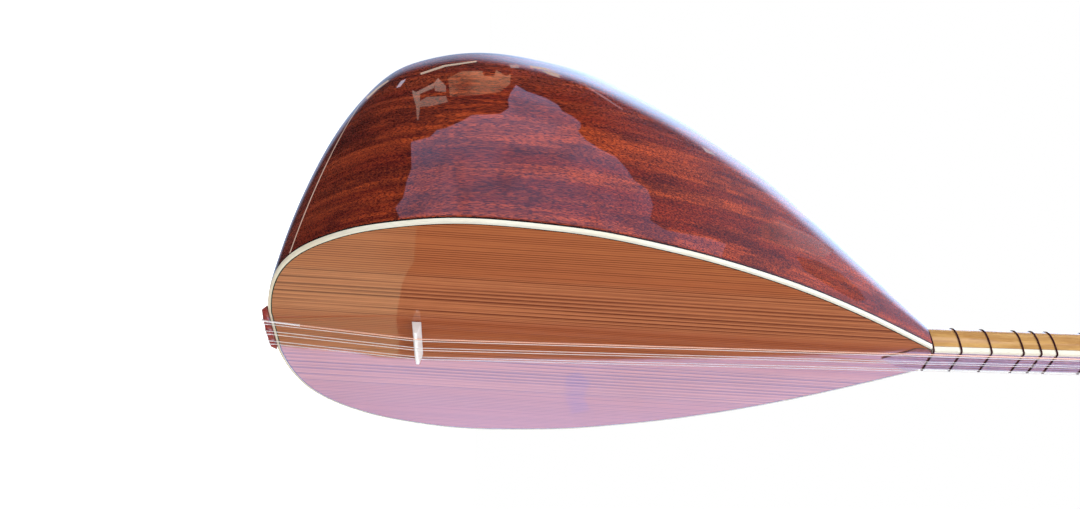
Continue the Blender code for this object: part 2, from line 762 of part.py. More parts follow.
def make_bridge_and_tail(nut):
    """Bridge, tailpiece, and the notches in them and in the nut."""
    z = -BRIDGE_FROM_JOINT
    half, base, ridge = BRIDGE_LENGTH / 2, BRIDGE_BASE / 2, BRIDGE_RIDGE / 2
    low, high = -FIT, -FIT - BRIDGE_HEIGHT
    rings = []
    for x, drop in ((-half, 0.8), (-half + 1.5, 0.0), (half - 1.5, 0.0), (half, 0.8)):
        rings.append([
            (x, low, z - base), (x, low, z + base), (x, low - 2.0, z + base - 0.3), (x, high + drop, z + ridge),
            (x, high + drop, z - ridge), (x, low - 2.0, z - base + 0.3),
        ])
    pivot = lean((0.0, 0.0, z))
    bridge = solid("bridge", *loft(rings), ((0.90, 0.87, 0.80), 0.4), in_body=True, pivot=pivot)
    places = string_offsets(PAIR_PITCH_BRIDGE, PAIR_GAP_BRIDGE)
    bottoms = [bridge_string_level(n) + string_radius(n) + FIT for n in range(1, 7)]
    cuts = notch_row(places, bottoms, z - 12, z + 12, -BRIDGE_HEIGHT - 5)
    boolean(bridge, solid("cut_bridge_notches", *cuts, in_body=True, helper=True))

    places = string_offsets(PAIR_PITCH_NUT, PAIR_GAP_NUT)
    bottoms = [nut_string_level(n) + string_radius(n) + FIT for n in range(1, 7)]
    cuts = notch_row(places, bottoms, NUT_Z - 6, NUT_Z + NUT_THICKNESS + 6, FINGER_TOP - NUT_RISE - 5, 2.2 * FIT)
    boolean(nut, solid("cut_nut_notches", *cuts, helper=True))

    face = body_z(TAIL_FLAT)
    back = face - FIT - TAILPIECE_THICKNESS
    top, tip = -TAILPIECE_RISE, TAILPIECE_RISE - TAILPIECE_BEVEL
    rings = []
    for x in (-TAILPIECE_BASS_REACH, -24.0, -12.0, 0.0, 12.0, TAILPIECE_TREBLE_REACH - 4.0, TAILPIECE_TREBLE_REACH):
        bow = TAILPIECE_BOW * (x / TAILPIECE_BASS_REACH) ** 2
        edge = back + bow + (TAILPIECE_CORNER if x == TAILPIECE_TREBLE_REACH else 0.0)
        rings.append([
            (x, top, face + 12), (x, top, edge + TAILPIECE_BEVEL), (x, -tip, edge),
            (x, TAILPIECE_DROP, face - FIT - TAILPIECE_FOOT + bow), (x, TAILPIECE_DROP, face + 12),
        ])
    tailpiece = solid("tailpiece", *loft(rings), ((0.20, 0.035, 0.025), 0.18), in_body=True)
    seat = [[(x, y, z) for x, z in outline(-FIT)] for y in (-12.0, TAILPIECE_DROP + 8.0)]
    boolean(tailpiece, solid("cut_body_seat", *loft(seat), in_body=True, helper=True))
    places = string_offsets(PAIR_PITCH_TAIL, PAIR_GAP_TAIL)
    teeth = []
    for x in places:
        s = TOOTH_SIZE / 2
        teeth.append(box(x - s, x + s, TOOTH_DROP, TOOTH_DROP + TOOTH_SIZE, back + TAILPIECE_BEVEL, face - 1.0))
    boolean(tailpiece, solid("join_teeth", *merged(teeth), in_body=True, helper=True), "UNION")
    bottoms = [tail_string_level(n) + string_radius(n) + FIT for n in range(1, 7)]
    cuts = notch_row(places, bottoms, back - 8, face + 20, -12.0)
    boolean(tailpiece, solid("cut_tail_grooves", *cuts, in_body=True, helper=True))


def tail_turn(x, r):
    """Where a string ends above its tooth, and where it turns over the tailpiece's outer edge."""
    face = body_z(TAIL_FLAT)
    bow = TAILPIECE_BOW * (x / TAILPIECE_BASS_REACH) ** 2
    edge_y, edge_z = TAILPIECE_BEVEL - TAILPIECE_RISE, face - FIT - TAILPIECE_THICKNESS + bow
    run, rise = TAILPIECE_DROP - edge_y, face - FIT - TAILPIECE_FOOT + bow - edge_z
    slope = math.hypot(run, rise)
    out_y, out_z = rise / slope, -run / slope
    level = -TAILPIECE_RISE + GROOVE_DEPTH - FIT - r
    away = r + FIT
    corner_t = (level - edge_y - away * out_y) / (run / slope)
    end_t = (TOOTH_DROP - FIT - (away + r) * out_y - edge_y) / (run / slope)
    places = []
    for t in (end_t, corner_t):
        places.append((x, edge_y + away * out_y + t * run / slope, edge_z + away * out_z + t * rise / slope))
    return places


def string_route(number):
    """The string's axis, in the neck frame, from its tooth over bridge and nut to its peg."""
    r = string_radius(number)
    i = number - 1
    x_tail = string_offsets(PAIR_PITCH_TAIL, PAIR_GAP_TAIL)[i]
    x_bridge = string_offsets(PAIR_PITCH_BRIDGE, PAIR_GAP_BRIDGE)[i]
    x_nut = string_offsets(PAIR_PITCH_NUT, PAIR_GAP_NUT)[i]
    end, corner = tail_turn(x_tail, r)
    route = [
        lean(end),
        lean(corner),
        lean((x_bridge, bridge_string_level(number), -BRIDGE_FROM_JOINT)),
        Vector((x_nut, nut_string_level(number), NUT_Z)),
        Vector((x_nut, nut_string_level(number), NUT_Z + NUT_THICKNESS)),
    ]
    row, z, side = peg_places()[i]
    away = PEG_RADIUS + FIT + WINDING_LAYER + FIT + r
    if row == "side":
        x_end = -head_half(z) - FIT - WINDING_LENGTH / 2
        route.append(Vector((x_end, side_peg_level() - away, z)))
    else:
        route.append(Vector((side * away, HEAD_FRONT - FIT - WINDING_LENGTH / 2, z)))
    return route


def make_strings():
    """Each string as a tube along its whole route."""
    for number in range(1, 7):
        route = [world(p) for p in string_route(number)]
        curve = bpy.data.curves.new(f"string_{number}", "CURVE")
        curve.dimensions = "3D"
        curve.bevel_depth = string_radius(number) * MM
        curve.bevel_resolution = 2
        curve.use_fill_caps = True
        spline = curve.splines.new("POLY")
        spline.points.add(len(route) - 1)
        for point, place in zip(spline.points, route):
            point.co = (*place, 1.0)
        colour = ((0.55, 0.25, 0.12), 0.35, 0.9) if number == 1 else ((0.62, 0.62, 0.62), 0.25, 1.0)
        curve.materials.append(material(f"string_{number}", *colour))
        obj = bpy.data.objects.new(f"string_{number}", curve)
        bpy.context.scene.collection.objects.link(obj)


def main():
    clear_scene()
    make_body()
    nut = make_neck()
    make_frets()
    make_head()
    make_bridge_and_tail(nut)
    make_strings()


if __name__ == "__main__":
    main()
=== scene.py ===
"""Divan saz: the finished looks of a long-necked lute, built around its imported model.

Every curved piece is made again with a fine mesh from the same sizes as the model, in millimetres,
and settled in the model's frame in metres. Two frames are used: the neck frame, with its zero at
the neck joint at the level of the soundboard, and the body frame, which leans from it by LEAN.
"""

import logging
import math
from collections.abc import Iterable, Iterator, Sequence
from contextlib import contextmanager
from dataclasses import dataclass, field
from enum import Enum
from typing import Any

import bmesh
import bpy
import numpy as np
from mathutils import Matrix, Vector
from mathutils.bvhtree import BVHTree
from mathutils.geometry import barycentric_transform, delaunay_2d_cdt, tessellate_polygon


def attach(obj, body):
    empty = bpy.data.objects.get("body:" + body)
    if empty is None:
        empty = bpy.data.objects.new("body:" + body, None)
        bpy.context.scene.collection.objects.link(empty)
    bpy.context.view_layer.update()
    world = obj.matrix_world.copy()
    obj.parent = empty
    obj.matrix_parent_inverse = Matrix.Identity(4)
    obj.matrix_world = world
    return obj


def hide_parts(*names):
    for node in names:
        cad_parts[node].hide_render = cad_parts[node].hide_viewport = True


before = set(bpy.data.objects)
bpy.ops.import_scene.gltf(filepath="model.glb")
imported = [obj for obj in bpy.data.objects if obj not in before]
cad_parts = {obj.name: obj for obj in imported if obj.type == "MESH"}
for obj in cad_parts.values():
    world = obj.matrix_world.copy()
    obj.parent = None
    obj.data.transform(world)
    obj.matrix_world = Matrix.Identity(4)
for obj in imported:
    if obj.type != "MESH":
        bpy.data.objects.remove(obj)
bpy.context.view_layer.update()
LOG = logging.getLogger("saz")

MM = 0.001
WHITE = (1.0, 1.0, 1.0)
FIT = 0.3
LEAN = math.radians(1.1)
BODY_LENGTH = 510.5
STRING_LENGTH = 2.047 * BODY_LENGTH
BRIDGE_Z = -0.3812 * STRING_LENGTH
NUT_Z = STRING_LENGTH + BRIDGE_Z
BOARD = 4.0
RIM = BOARD + FIT
HEAD_FRONT = 4.0
HEAD_BACK = 21.0
ORIGIN = np.array((0.0, HEAD_BACK, NUT_Z + 106.0))
FINGER_TOP = -1.0
FINGER_BOTTOM = 3.0
NECK_TOP = FINGER_BOTTOM + FIT
NECK_END = NUT_Z + 5.4
Colour = tuple[float, float, float]
Mesh = tuple[np.ndarray, list[tuple[int, ...]]]


class PegRow(Enum):
    """The face of the head that a peg stands out of."""

    SIDE = "X"
    FRONT = "Y"


class Wood(Enum):
    """The tone of a wood: dark, middle and bright colour of its growth layers."""

    MAHOGANY = ((0.034, 0.003, 0.005), (0.212, 0.019, 0.007), (0.465, 0.070, 0.016))
    TAIL_MAHOGANY = ((0.070, 0.010, 0.008), (0.230, 0.034, 0.018), (0.330, 0.060, 0.030))
    BLOCK_MAHOGANY = ((0.220, 0.026, 0.022), (0.370, 0.052, 0.044), (0.460, 0.080, 0.068))
    ROSEWOOD = ((0.012, 0.005, 0.005), (0.040, 0.016, 0.014), (0.075, 0.032, 0.024))
    FINGERBOARD = ((0.190, 0.046, 0.046), (0.320, 0.096, 0.090), (0.400, 0.140, 0.130))
    HORNBEAM = ((0.300, 0.130, 0.030), (0.470, 0.245, 0.066), (0.570, 0.340, 0.120))
    SPRUCE = ((0.360, 0.220, 0.110), (0.520, 0.360, 0.190), (0.640, 0.470, 0.270))


def settle(points: Sequence[Sequence[float]], in_body: bool = False) -> np.ndarray:
    """Millimetres in the neck or body frame to metres in the model's frame.

    Args:
        points: places in millimetres.
        in_body: whether they are in the leaning body frame.

    Returns:
        The places in metres, one row each.
    """
    return ((lean(points) if in_body else np.asarray(points, float)) - ORIGIN) * MM


def lean(places: Any) -> np.ndarray:
    """Places of the body frame in the neck frame, in millimetres."""
    c, s = math.cos(LEAN), math.sin(LEAN)
    x, y, z = np.moveaxis(np.asarray(places, float), -1, 0)
    return np.stack((x, y * c - z * s, y * s + z * c), axis=-1)


@contextmanager
def workbench(data: bpy.types.Mesh) -> Iterator[bmesh.types.BMesh]:
    """A mesh on the bench: what is done to it there is kept."""
    work = bmesh.new()
    work.from_mesh(data)
    yield work
    work.to_mesh(data)
    work.free()


def linked(name: str, data: bpy.types.ID) -> bpy.types.Object:
    """A new object in the scene, made of the given data."""
    obj = bpy.data.objects.new(name, data)
    bpy.context.scene.collection.objects.link(obj)
    return obj


def new_object(name: str, points: Any, faces: Any, edges: Any = ()) -> bpy.types.Object:
    """A new object in the scene, from points in metres."""
    data = bpy.data.meshes.new(name)
    data.from_pydata(points, edges, faces)
    return linked(name, data)


def solid(name: str, mesh: Mesh, in_body: bool) -> bpy.types.Object:
    """A new object from points in millimetres, its faces turned outwards."""
    obj = new_object(name, settle(mesh[0], in_body).tolist(), mesh[1])
    with workbench(obj.data) as work:
        bmesh.ops.recalc_face_normals(work, faces=work.faces)
    return obj


def loft(rings: Sequence[Sequence[Sequence[float]]], capped: bool = True, round_ring: bool = True) -> Mesh:
    """A skin through rings of equally many points.

    Args:
        rings: the rings, in order.
        capped: whether the first and last ring are closed with a face.
        round_ring: whether the last point of a ring joins its first.

    Returns:
        Points and faces.
    """
    count, last = len(rings[0]), len(rings) - 1
    faces: list[tuple[int, ...]] = []
    for a in range(0, last * count, count):
        for j in range(count if round_ring else count - 1):
            k = (j + 1) % count
            faces.append((a + j, a + k, a + count + k, a + count + j))
    if capped:
        faces += [tuple(range(count)), tuple(range(last * count, (last + 1) * count))]
    return np.array([p for ring in rings for p in ring], float), faces


def arch(half: float, deep: float, swell: float, steps: int) -> list[tuple[float, float]]:
    """Half of an ellipse that swells between its axes, from one side to the other."""
    spots = []
    for i in range(steps + 1):
        t = math.pi * i / steps
        more = 1 + swell * math.sin(2 * t) ** 2
        spots.append((half * math.cos(t) * more, deep * math.sin(t) * more))
    return spots


def both_sides(side: np.ndarray) -> np.ndarray:
    """A closed outline from its one side and the mirror image of that side."""
    return np.concatenate([side, side[::-1] * (-1, 1)])


def joined(meshes: Iterable[Mesh]) -> Mesh:
    """Several meshes as one."""
    points, faces, start = [], [], 0
    for some_points, some_faces in meshes:
        points.append(np.asarray(some_points, float))
        faces += [tuple(start + i for i in face) for face in some_faces]
        start += len(some_points)
    return np.concatenate(points), faces


def resampled(line: Sequence[Sequence[float]], count: int) -> np.ndarray:
    """A line's points spread evenly by length."""
    line = np.asarray(line, float)
    steps = np.r_[0.0, np.cumsum(np.linalg.norm(np.diff(line, axis=0), axis=1))]
    at = np.linspace(0.0, steps[-1], count)
    return np.stack([np.interp(at, steps, line[:, k]) for k in range(line.shape[1])], axis=1)


def rounded_path(route: Sequence[Sequence[float]], radius: float, steps: int = 5) -> np.ndarray:
    """A route whose corners are replaced by small arcs.

    Args:
        route: corner points.
        radius: how far before and after a corner the arc starts and ends.
        steps: points on each arc.

    Returns:
        The rounded route.
    """
    route = [np.asarray(p, float) for p in route]
    path = [route[0]]
    for before, corner, after in zip(route, route[1:], route[2:]):
        into, out = before - corner, after - corner
        reach = min(radius, 0.45 * np.linalg.norm(into), 0.45 * np.linalg.norm(out))
        a = corner + into / np.linalg.norm(into) * reach
        b = corner + out / np.linalg.norm(out) * reach
        for i in range(steps + 1):
            t = i / steps
            path.append(a * (1 - t) ** 2 + corner * 2 * t * (1 - t) + b * t * t)
    path.append(route[-1])
    return np.array(path)


def frames_along(path: np.ndarray) -> tuple[np.ndarray, np.ndarray]:
    """Two directions across a path at each point, carried along it without twist."""
    tangents = np.gradient(path, axis=0)
    tangents /= np.linalg.norm(tangents, axis=1)[:, None]
    side = np.cross(tangents[0], (1.0, 0.0, 0.0))
    if np.linalg.norm(side) < 0.1:
        side = np.cross(tangents[0], (0.0, 1.0, 0.0))
    sides = []
    for tangent in tangents:
        side = side - tangent * np.dot(side, tangent)
        side = side / np.linalg.norm(side)
        sides.append(side)
    sides_array = np.array(sides)
    return sides_array, np.cross(tangents, sides_array)


def tube(path: np.ndarray, radius: float, sides: int = 10) -> Mesh:
    """A round wire along a path, closed at both ends."""
    one, two = frames_along(path)
    angles = np.arange(sides) * 2 * math.pi / sides
    ring = np.cos(angles)[:, None, None] * one + np.sin(angles)[:, None, None] * two
    rings = path[:, None, :] + radius * ring.transpose(1, 0, 2)
    return loft(rings)


def coil_along(path: np.ndarray, radius: float, pitch: float, per_turn: int = 10) -> np.ndarray:
    """The line of a coil that runs round a path."""
    length = np.linalg.norm(np.diff(path, axis=0), axis=1).sum()
    turns = length / pitch
    core = resampled(path, max(12, int(turns * per_turn)))
    one, two = frames_along(core)
    angle = np.linspace(0.0, turns * 2 * math.pi, len(core))[:, None]
    return core + radius * (np.cos(angle) * one + np.sin(angle) * two)


class NodeKit:
    """Adds nodes to one tree and joins them."""

    def __init__(self, tree: bpy.types.NodeTree) -> None:
        """Take the tree to work in."""
        self.tree = tree

    def feed(self, socket: bpy.types.NodeSocket, value: Any) -> None:
        """Link a socket to another, or set its own value."""
        if isinstance(value, bpy.types.NodeSocket):
            self.tree.links.new(value, socket)
        else:
            socket.default_value = value

    def add(self, kind: str, values: dict[Any, Any] | None = None, **settings: Any) -> bpy.types.Node:
        """Add a node.

        Args:
            kind: Blender's name for the node.
            values: what its inputs take, by name or number.
            settings: the node's own settings.

        Returns:
            The node.
        """
        node = self.tree.nodes.new(kind)
        for key, value in settings.items():
            setattr(node, key, value)
        for key, value in (values or {}).items():
            self.feed(node.inputs[key], value)
        return node

    def math(self, operation: str, a: Any, b: Any = 0.0, c: Any = 0.0) -> bpy.types.NodeSocket:
        """The result of a Math node."""
        return self.add("ShaderNodeMath", {0: a, 1: b, 2: c}, operation=operation).outputs[0]

    def vector(self, operation: str, a: Any, b: Any) -> bpy.types.NodeSocket:
        """The result of a Vector Math node."""
        node = self.add("ShaderNodeVectorMath", {0: a, 1: b}, operation=operation)
        return node.outputs["Value" if operation == "DOT_PRODUCT" else 0]

    def noise(self, place: Any, scale: float, detail: Any, rough: float = 0.5) -> bpy.types.NodeSocket:
        """Plain noise."""
        values = {"Vector": place, "Scale": scale, "Detail": detail, "Roughness": rough}
        return self.add("ShaderNodeTexNoise", values).outputs[0]

    def blend(self, factor: Any, a: Any, b: Any) -> bpy.types.NodeSocket:
        """One colour laid over another by a factor."""
        a, b = ((*c, 1.0) if isinstance(c, tuple) else c for c in (a, b))
        return self.add("ShaderNodeMix", {0: factor, 6: a, 7: b}, data_type="RGBA").outputs[2]

    def ramp(self, value: Any, low: Any, high: Any, to_low: float = 0.0, to_high: float = 1.0) -> bpy.types.NodeSocket:
        """A value eased between two limits."""
        limits = {0: value, 1: low, 2: high, 3: to_low, 4: to_high}
        return self.add("ShaderNodeMapRange", limits, interpolation_type="SMOOTHSTEP").outputs[0]

    def group(self, tree: bpy.types.NodeTree, **values: Any) -> bpy.types.NodeSocket:
        """The result of a group with its own values."""
        named = {label.replace("_", " "): value for label, value in values.items()}
        return self.add("ShaderNodeGroup", named, node_tree=tree).outputs[0]

    def wire(self, line: bpy.types.NodeSocket, profile: bpy.types.NodeSocket, closed: bool) -> bpy.types.NodeSocket:
        """A line made round by a profile, its ends closed or not."""
        return self.add("GeometryNodeCurveToMesh", {0: line, 1: profile, "Fill Caps": closed}).outputs[0]

    def dressed(self, geometry: bpy.types.NodeSocket, material: bpy.types.NodeSocket) -> bpy.types.NodeSocket:
        """Geometry made real and smooth, with its material."""
        real = self.add("GeometryNodeRealizeInstances", {0: geometry}).outputs[0]
        shade = self.add("GeometryNodeSetShadeSmooth", {0: real}).outputs[0]
        return self.add("GeometryNodeSetMaterial", {"Geometry": shade, "Material": material}).outputs[0]


def new_tree(name: str, inputs: dict[str, Any], output: str) -> tuple[NodeKit, dict[str, Any], bpy.types.NodeSocket]:
    """A node group with named sockets, for meshes if its output is Geometry and for shaders otherwise.

    Args:
        name: the group's name.
        inputs: the first value of each input by its name; None stands for a vector, geometry or material.
        output: the output's name.
    """
    for_mesh = output == "Geometry"
    tree = bpy.data.node_groups.new(name, "GeometryNodeTree" if for_mesh else "ShaderNodeTree")
    for label, value in inputs.items():
        kind = label if label in ("Geometry", "Material") else {float: "Float", int: "Int"}.get(type(value), "Vector")
        socket = tree.interface.new_socket(label, in_out="INPUT", socket_type="NodeSocket" + kind)
        if value is not None:
            socket.default_value = value
    made = "NodeSocketGeometry" if for_mesh else "NodeSocketFloat"
    tree.interface.new_socket(output, in_out="OUTPUT", socket_type=made)
    kit = NodeKit(tree)
    sources = kit.add("NodeGroupInput").outputs
    return kit, {label: sources[label] for label in inputs}, kit.add("NodeGroupOutput").inputs[0]


class Effects:
    """The shader groups that the finishes share."""

    def __init__(self) -> None:
        """Build each group once."""
        self.grain = self.stretched_grain()
        self.lines = self.board_lines()
        self.polish = self.hand_polish()

    def stretched_grain(self) -> bpy.types.NodeTree:
        """A mask of noise drawn out along the grain."""
        first = {"Vector": None, "Frequency": (100.0, 100.0, 10.0), "Detail": 3.0, "From": 0.4, "To": 0.6}
        kit, into, out = new_tree("Stretched grain", first, "Mask")
        noise = kit.noise(kit.vector("MULTIPLY", into["Vector"], into["Frequency"]), 1.0, into["Detail"], 0.55)
        kit.feed(out, kit.ramp(noise, into["From"], into["To"]))
        return kit.tree

    def board_lines(self) -> bpy.types.NodeTree:
        """Growth lines of a board that is joined down its middle, mirrored about the joint."""
        first = {"Vector": None, "Pitch": 0.002, "Wander": 0.001, "Uneven": 1.0, "Width": 0.5}
        kit, into, out = new_tree("Board lines", first, "Line")
        parts = kit.add("ShaderNodeSeparateXYZ", {0: into["Vector"]}).outputs
        across = kit.math("ABSOLUTE", parts[0])
        wander = kit.noise(kit.vector("MULTIPLY", into["Vector"], (9.0, 1.0, 1.6)), 1.0, 1.5)
        shifted = kit.math("MULTIPLY_ADD", kit.math("SUBTRACT", wander, 0.5), into["Wander"], across)
        along_x = kit.add("ShaderNodeCombineXYZ", {0: kit.math("MULTIPLY", across, 42.0)}).outputs[0]
        uneven = kit.noise(along_x, 1.0, 2.0)
        phase = kit.math("MULTIPLY_ADD", uneven, into["Uneven"], kit.math("DIVIDE", shifted, into["Pitch"]))
        part = kit.math("FRACT", phase)
        rise = kit.ramp(part, kit.math("SUBTRACT", 0.86, into["Width"]), 0.86)
        line = kit.math("MULTIPLY", rise, kit.ramp(part, 0.88, 1.0, 1.0, 0.0))
        spot = {0: kit.math("MULTIPLY", shifted, 190.0), 2: kit.math("MULTIPLY", parts[2], 3.0)}
        strength = kit.noise(kit.add("ShaderNodeCombineXYZ", spot).outputs[0], 1.0, 2.0)
        kit.feed(out, kit.math("MULTIPLY", line, kit.ramp(strength, 0.36, 0.56, 0.25, 1.0)))
        return kit.tree

    def hand_polish(self) -> bpy.types.NodeTree:
        """Roughness that changes a little over a polished surface."""
        kit, into, out = new_tree("Hand polish", {"Vector": None, "Base": 0.3, "Change": 0.1}, "Roughness")
        centred = kit.math("SUBTRACT", kit.noise(into["Vector"], 60.0, 4.0), 0.5)
        kit.feed(out, kit.math("MULTIPLY_ADD", centred, into["Change"], into["Base"]))
        return kit.tree


@dataclass(frozen=True)
class Finish:
    """A finish: the plain numbers of its shader, and how its colour changes over the surface."""

    name: str
    effects: Effects
    roughness: float = 0.4
    change: float = 0.08
    metallic: float = 0.0
    coat: float = 0.0
    coat_roughness: float = 0.03
    specular: float = 0.5

    def colour(self, kit: NodeKit, place: bpy.types.NodeSocket) -> tuple[Any, Any]:
        """The colour, and the height that roughens the surface or None."""
        raise NotImplementedError

    def mask(self, kit: NodeKit, place: Any, frequency: Colour, low: float, high: float,
             detail: float = 3.0) -> bpy.types.NodeSocket:
        """A stretched grain mask with its own values."""
        return kit.group(self.effects.grain, Vector=place, Frequency=frequency, Detail=detail, From=low, To=high)

    def build(self) -> bpy.types.Material:
        """Make the material."""
        made = bpy.data.materials.new(self.name)
        made.use_nodes = True
        kit = NodeKit(made.node_tree)
        shader = made.node_tree.nodes["Principled BSDF"]
        place = kit.add("ShaderNodeTexCoord").outputs["Object"]
        colour, height = self.colour(kit, place)
        kit.feed(shader.inputs["Base Color"], colour)
        polish = kit.group(self.effects.polish, Vector=place, Base=self.roughness, Change=self.change)
        kit.feed(shader.inputs["Roughness"], polish)
        plain = {"Metallic": self.metallic, "Coat Weight": self.coat, "Coat Roughness": self.coat_roughness,
                 "Specular IOR Level": self.specular}
        for label, value in plain.items():
            shader.inputs[label].default_value = value
        if height is not None:
            socket, strength, distance = height
            bump = kit.add("ShaderNodeBump", {"Strength": strength, "Distance": distance, "Height": socket})
            kit.feed(shader.inputs["Normal"], bump.outputs[0])
        return made


@dataclass(frozen=True)
class LayeredWood(Finish):
    """A wood with growth layers, ribbon figure and short dark pores along the neck's direction, darkened towards the
    tail as painted shade.
    """

    wood: Wood = Wood.MAHOGANY
    layers: Colour = (6.0, 70.0, 3.0)
    pores: float = 0.84
    fine: float = 1900.0
    mottle: float = 0.66
    painted_tail_shade: float = 0.20

    def colour(self, kit: NodeKit, place: bpy.types.NodeSocket) -> tuple[Any, Any]:
        """Blend the layers, the mottled figure and the pores, then darken towards the tail as painted shade."""
        dark, middle, bright = self.wood.value
        along = self.fine * 0.11
        band = self.mask(kit, place, self.layers, 0.42, 0.58, 5.0)
        thin = self.mask(kit, place, tuple(v * f for v, f in zip(self.layers, (6.0, 4.5, 5.0))), 0.42, 0.60, 5.0)
        cloud = self.mask(kit, place, (34.0, 46.0, 17.0), 0.52, 0.62, 4.0)
        thread = self.mask(kit, place, (self.fine * 0.8, self.fine * 0.8, along * 0.5), 0.44, 0.60, 1.0)
        pore = self.mask(kit, place, (self.fine, self.fine, along), 0.46, 0.56, 1.0)
        base = kit.blend(band, middle, bright)
        base = kit.blend(kit.math("MULTIPLY", thin, 0.5), base, dark)
        base = kit.blend(kit.math("MULTIPLY", cloud, self.mottle), base, dark)
        base = kit.blend(kit.math("MULTIPLY", thread, 0.34), base, bright)
        base = kit.blend(kit.math("MULTIPLY", pore, self.pores), base, tuple(0.7 * v for v in dark))
        # Painted shade: near the tail end the wood is blended towards its dark colour.
        length = kit.add("ShaderNodeSeparateXYZ", {0: place}).outputs[2]
        base = kit.blend(kit.ramp(length, -1.24, -0.97, self.painted_tail_shade, 0.0), base, dark)
        return base, (kit.math("SUBTRACT", thread, pore), 0.10, 0.0002)


@dataclass(frozen=True)
class BoardWood(Finish):
    """The soundboard: straight growth lines mirrored about the joint, with a band of wider ones."""

    early: Colour = (0.465, 0.142, 0.048)
    middle: Colour = (0.405, 0.108, 0.038)
    pale: Colour = (0.620, 0.235, 0.098)
    late: Colour = (0.130, 0.026, 0.010)
    tilt: float = 0.03

    def colour(self, kit: NodeKit, place: bpy.types.NodeSocket) -> tuple[Any, Any]:
        """Lay fine lines, wide lines in their band and fibres over the ground colour."""
        parts = kit.add("ShaderNodeSeparateXYZ", {0: place})
        drift = kit.math("MULTIPLY", kit.math("ADD", parts.outputs[2], 1.0), self.tilt)
        tilted = kit.math("SUBTRACT", parts.outputs[0], drift)
        place = kit.add("ShaderNodeCombineXYZ", {0: tilted, 1: parts.outputs[1], 2: parts.outputs[2]}).outputs[0]
        across = kit.math("ABSOLUTE", tilted)
        lines = self.effects.lines
        fine = kit.group(lines, Vector=place, Pitch=0.0026, Wander=0.0030, Uneven=1.6, Width=0.52)
        wide = kit.group(lines, Vector=place, Pitch=0.0050, Wander=0.0030, Uneven=1.2, Width=0.45)
        band = kit.math("MULTIPLY", kit.ramp(across, 0.020, 0.032), kit.ramp(across, 0.076, 0.088, 1.0, 0.0))
        near = self.mask(kit, place, (14.0, 1.0, 0.7), 0.35, 0.7)
        fibre = self.mask(kit, place, (2200.0, 900.0, 60.0), 0.3, 0.75, 2.0)
        ground = kit.blend(near, self.early, self.middle)
        ground = kit.blend(kit.math("MULTIPLY", band, 0.5), ground, self.pale)
        ground = kit.blend(kit.math("MULTIPLY", fibre, 0.22), ground, self.late)
        weak = kit.math("MULTIPLY", fine, kit.ramp(near, 0.0, 1.0, 0.85, 0.60))
        ground = kit.blend(weak, ground, self.late)
        strong = kit.math("MULTIPLY", kit.math("MULTIPLY", wide, band), 0.95)
        ground = kit.blend(strong, ground, self.late)
        return ground, (fibre, 0.06, 0.0001)


@dataclass(frozen=True)
class PlainStuff(Finish):
    """An even material such as bone, cream edge strip or dyed line, with a little cloud and fleck, and painted shade
    towards the tail where asked.
    """

    tone: Colour = (0.8, 0.8, 0.8)
    shade: Colour = (0.7, 0.7, 0.7)
    fleck: float = 0.2
    painted_tail_shading: float = 0.0

    def colour(self, kit: NodeKit, place: bpy.types.NodeSocket) -> tuple[Any, Any]:
        """Cloud the tone a little, streak it along its length and push it towards its shade colour near the tail as
        painted shade.
        """
        cloud = self.mask(kit, place, (60.0, 60.0, 18.0), 0.35, 0.75)
        streak = self.mask(kit, place, (900.0, 900.0, 60.0), 0.45, 0.8, 2.0)
        length = kit.add("ShaderNodeSeparateXYZ", {0: place}).outputs[2]
        # Painted shade: near the tail the tone is pushed towards the shade colour by this amount.
        cloud = kit.math("MULTIPLY_ADD", cloud, 0.35, kit.ramp(length, -1.27, -1.15, self.painted_tail_shading, 0.0))
        amount = kit.math("MULTIPLY_ADD", streak, self.fleck, cloud)
        return kit.blend(amount, self.tone, self.shade), (streak, 0.05, 0.0001)


@dataclass(frozen=True)
class Wire(Finish):
    """A metal wire: drawn and plain, or wound, with the ridges of the winding along it."""

    tone: Colour = (0.8, 0.8, 0.8)
    dull: Colour = (0.5, 0.5, 0.5)
    ridge: float = 0.0

    def colour(self, kit: NodeKit, place: bpy.types.NodeSocket) -> tuple[Any, Any]:
        """Tarnish the tone in patches; a wound wire gets ridges."""
        tarnish = self.mask(kit, place, (300.0, 300.0, 40.0), 0.45, 0.8)
        colour = kit.blend(kit.math("MULTIPLY", tarnish, 0.5), self.tone, self.dull)
        if not self.ridge:
            return colour, None
        waves = kit.add("ShaderNodeTexWave", {"Vector": place, "Scale": 1.0 / (self.ridge * 6.2832) * 0.314},
                        bands_direction="Z")
        colour = kit.blend(kit.math("MULTIPLY", waves.outputs[1], 0.35), colour, self.dull)
        return colour, (waves.outputs[1], 0.5, 0.0002)


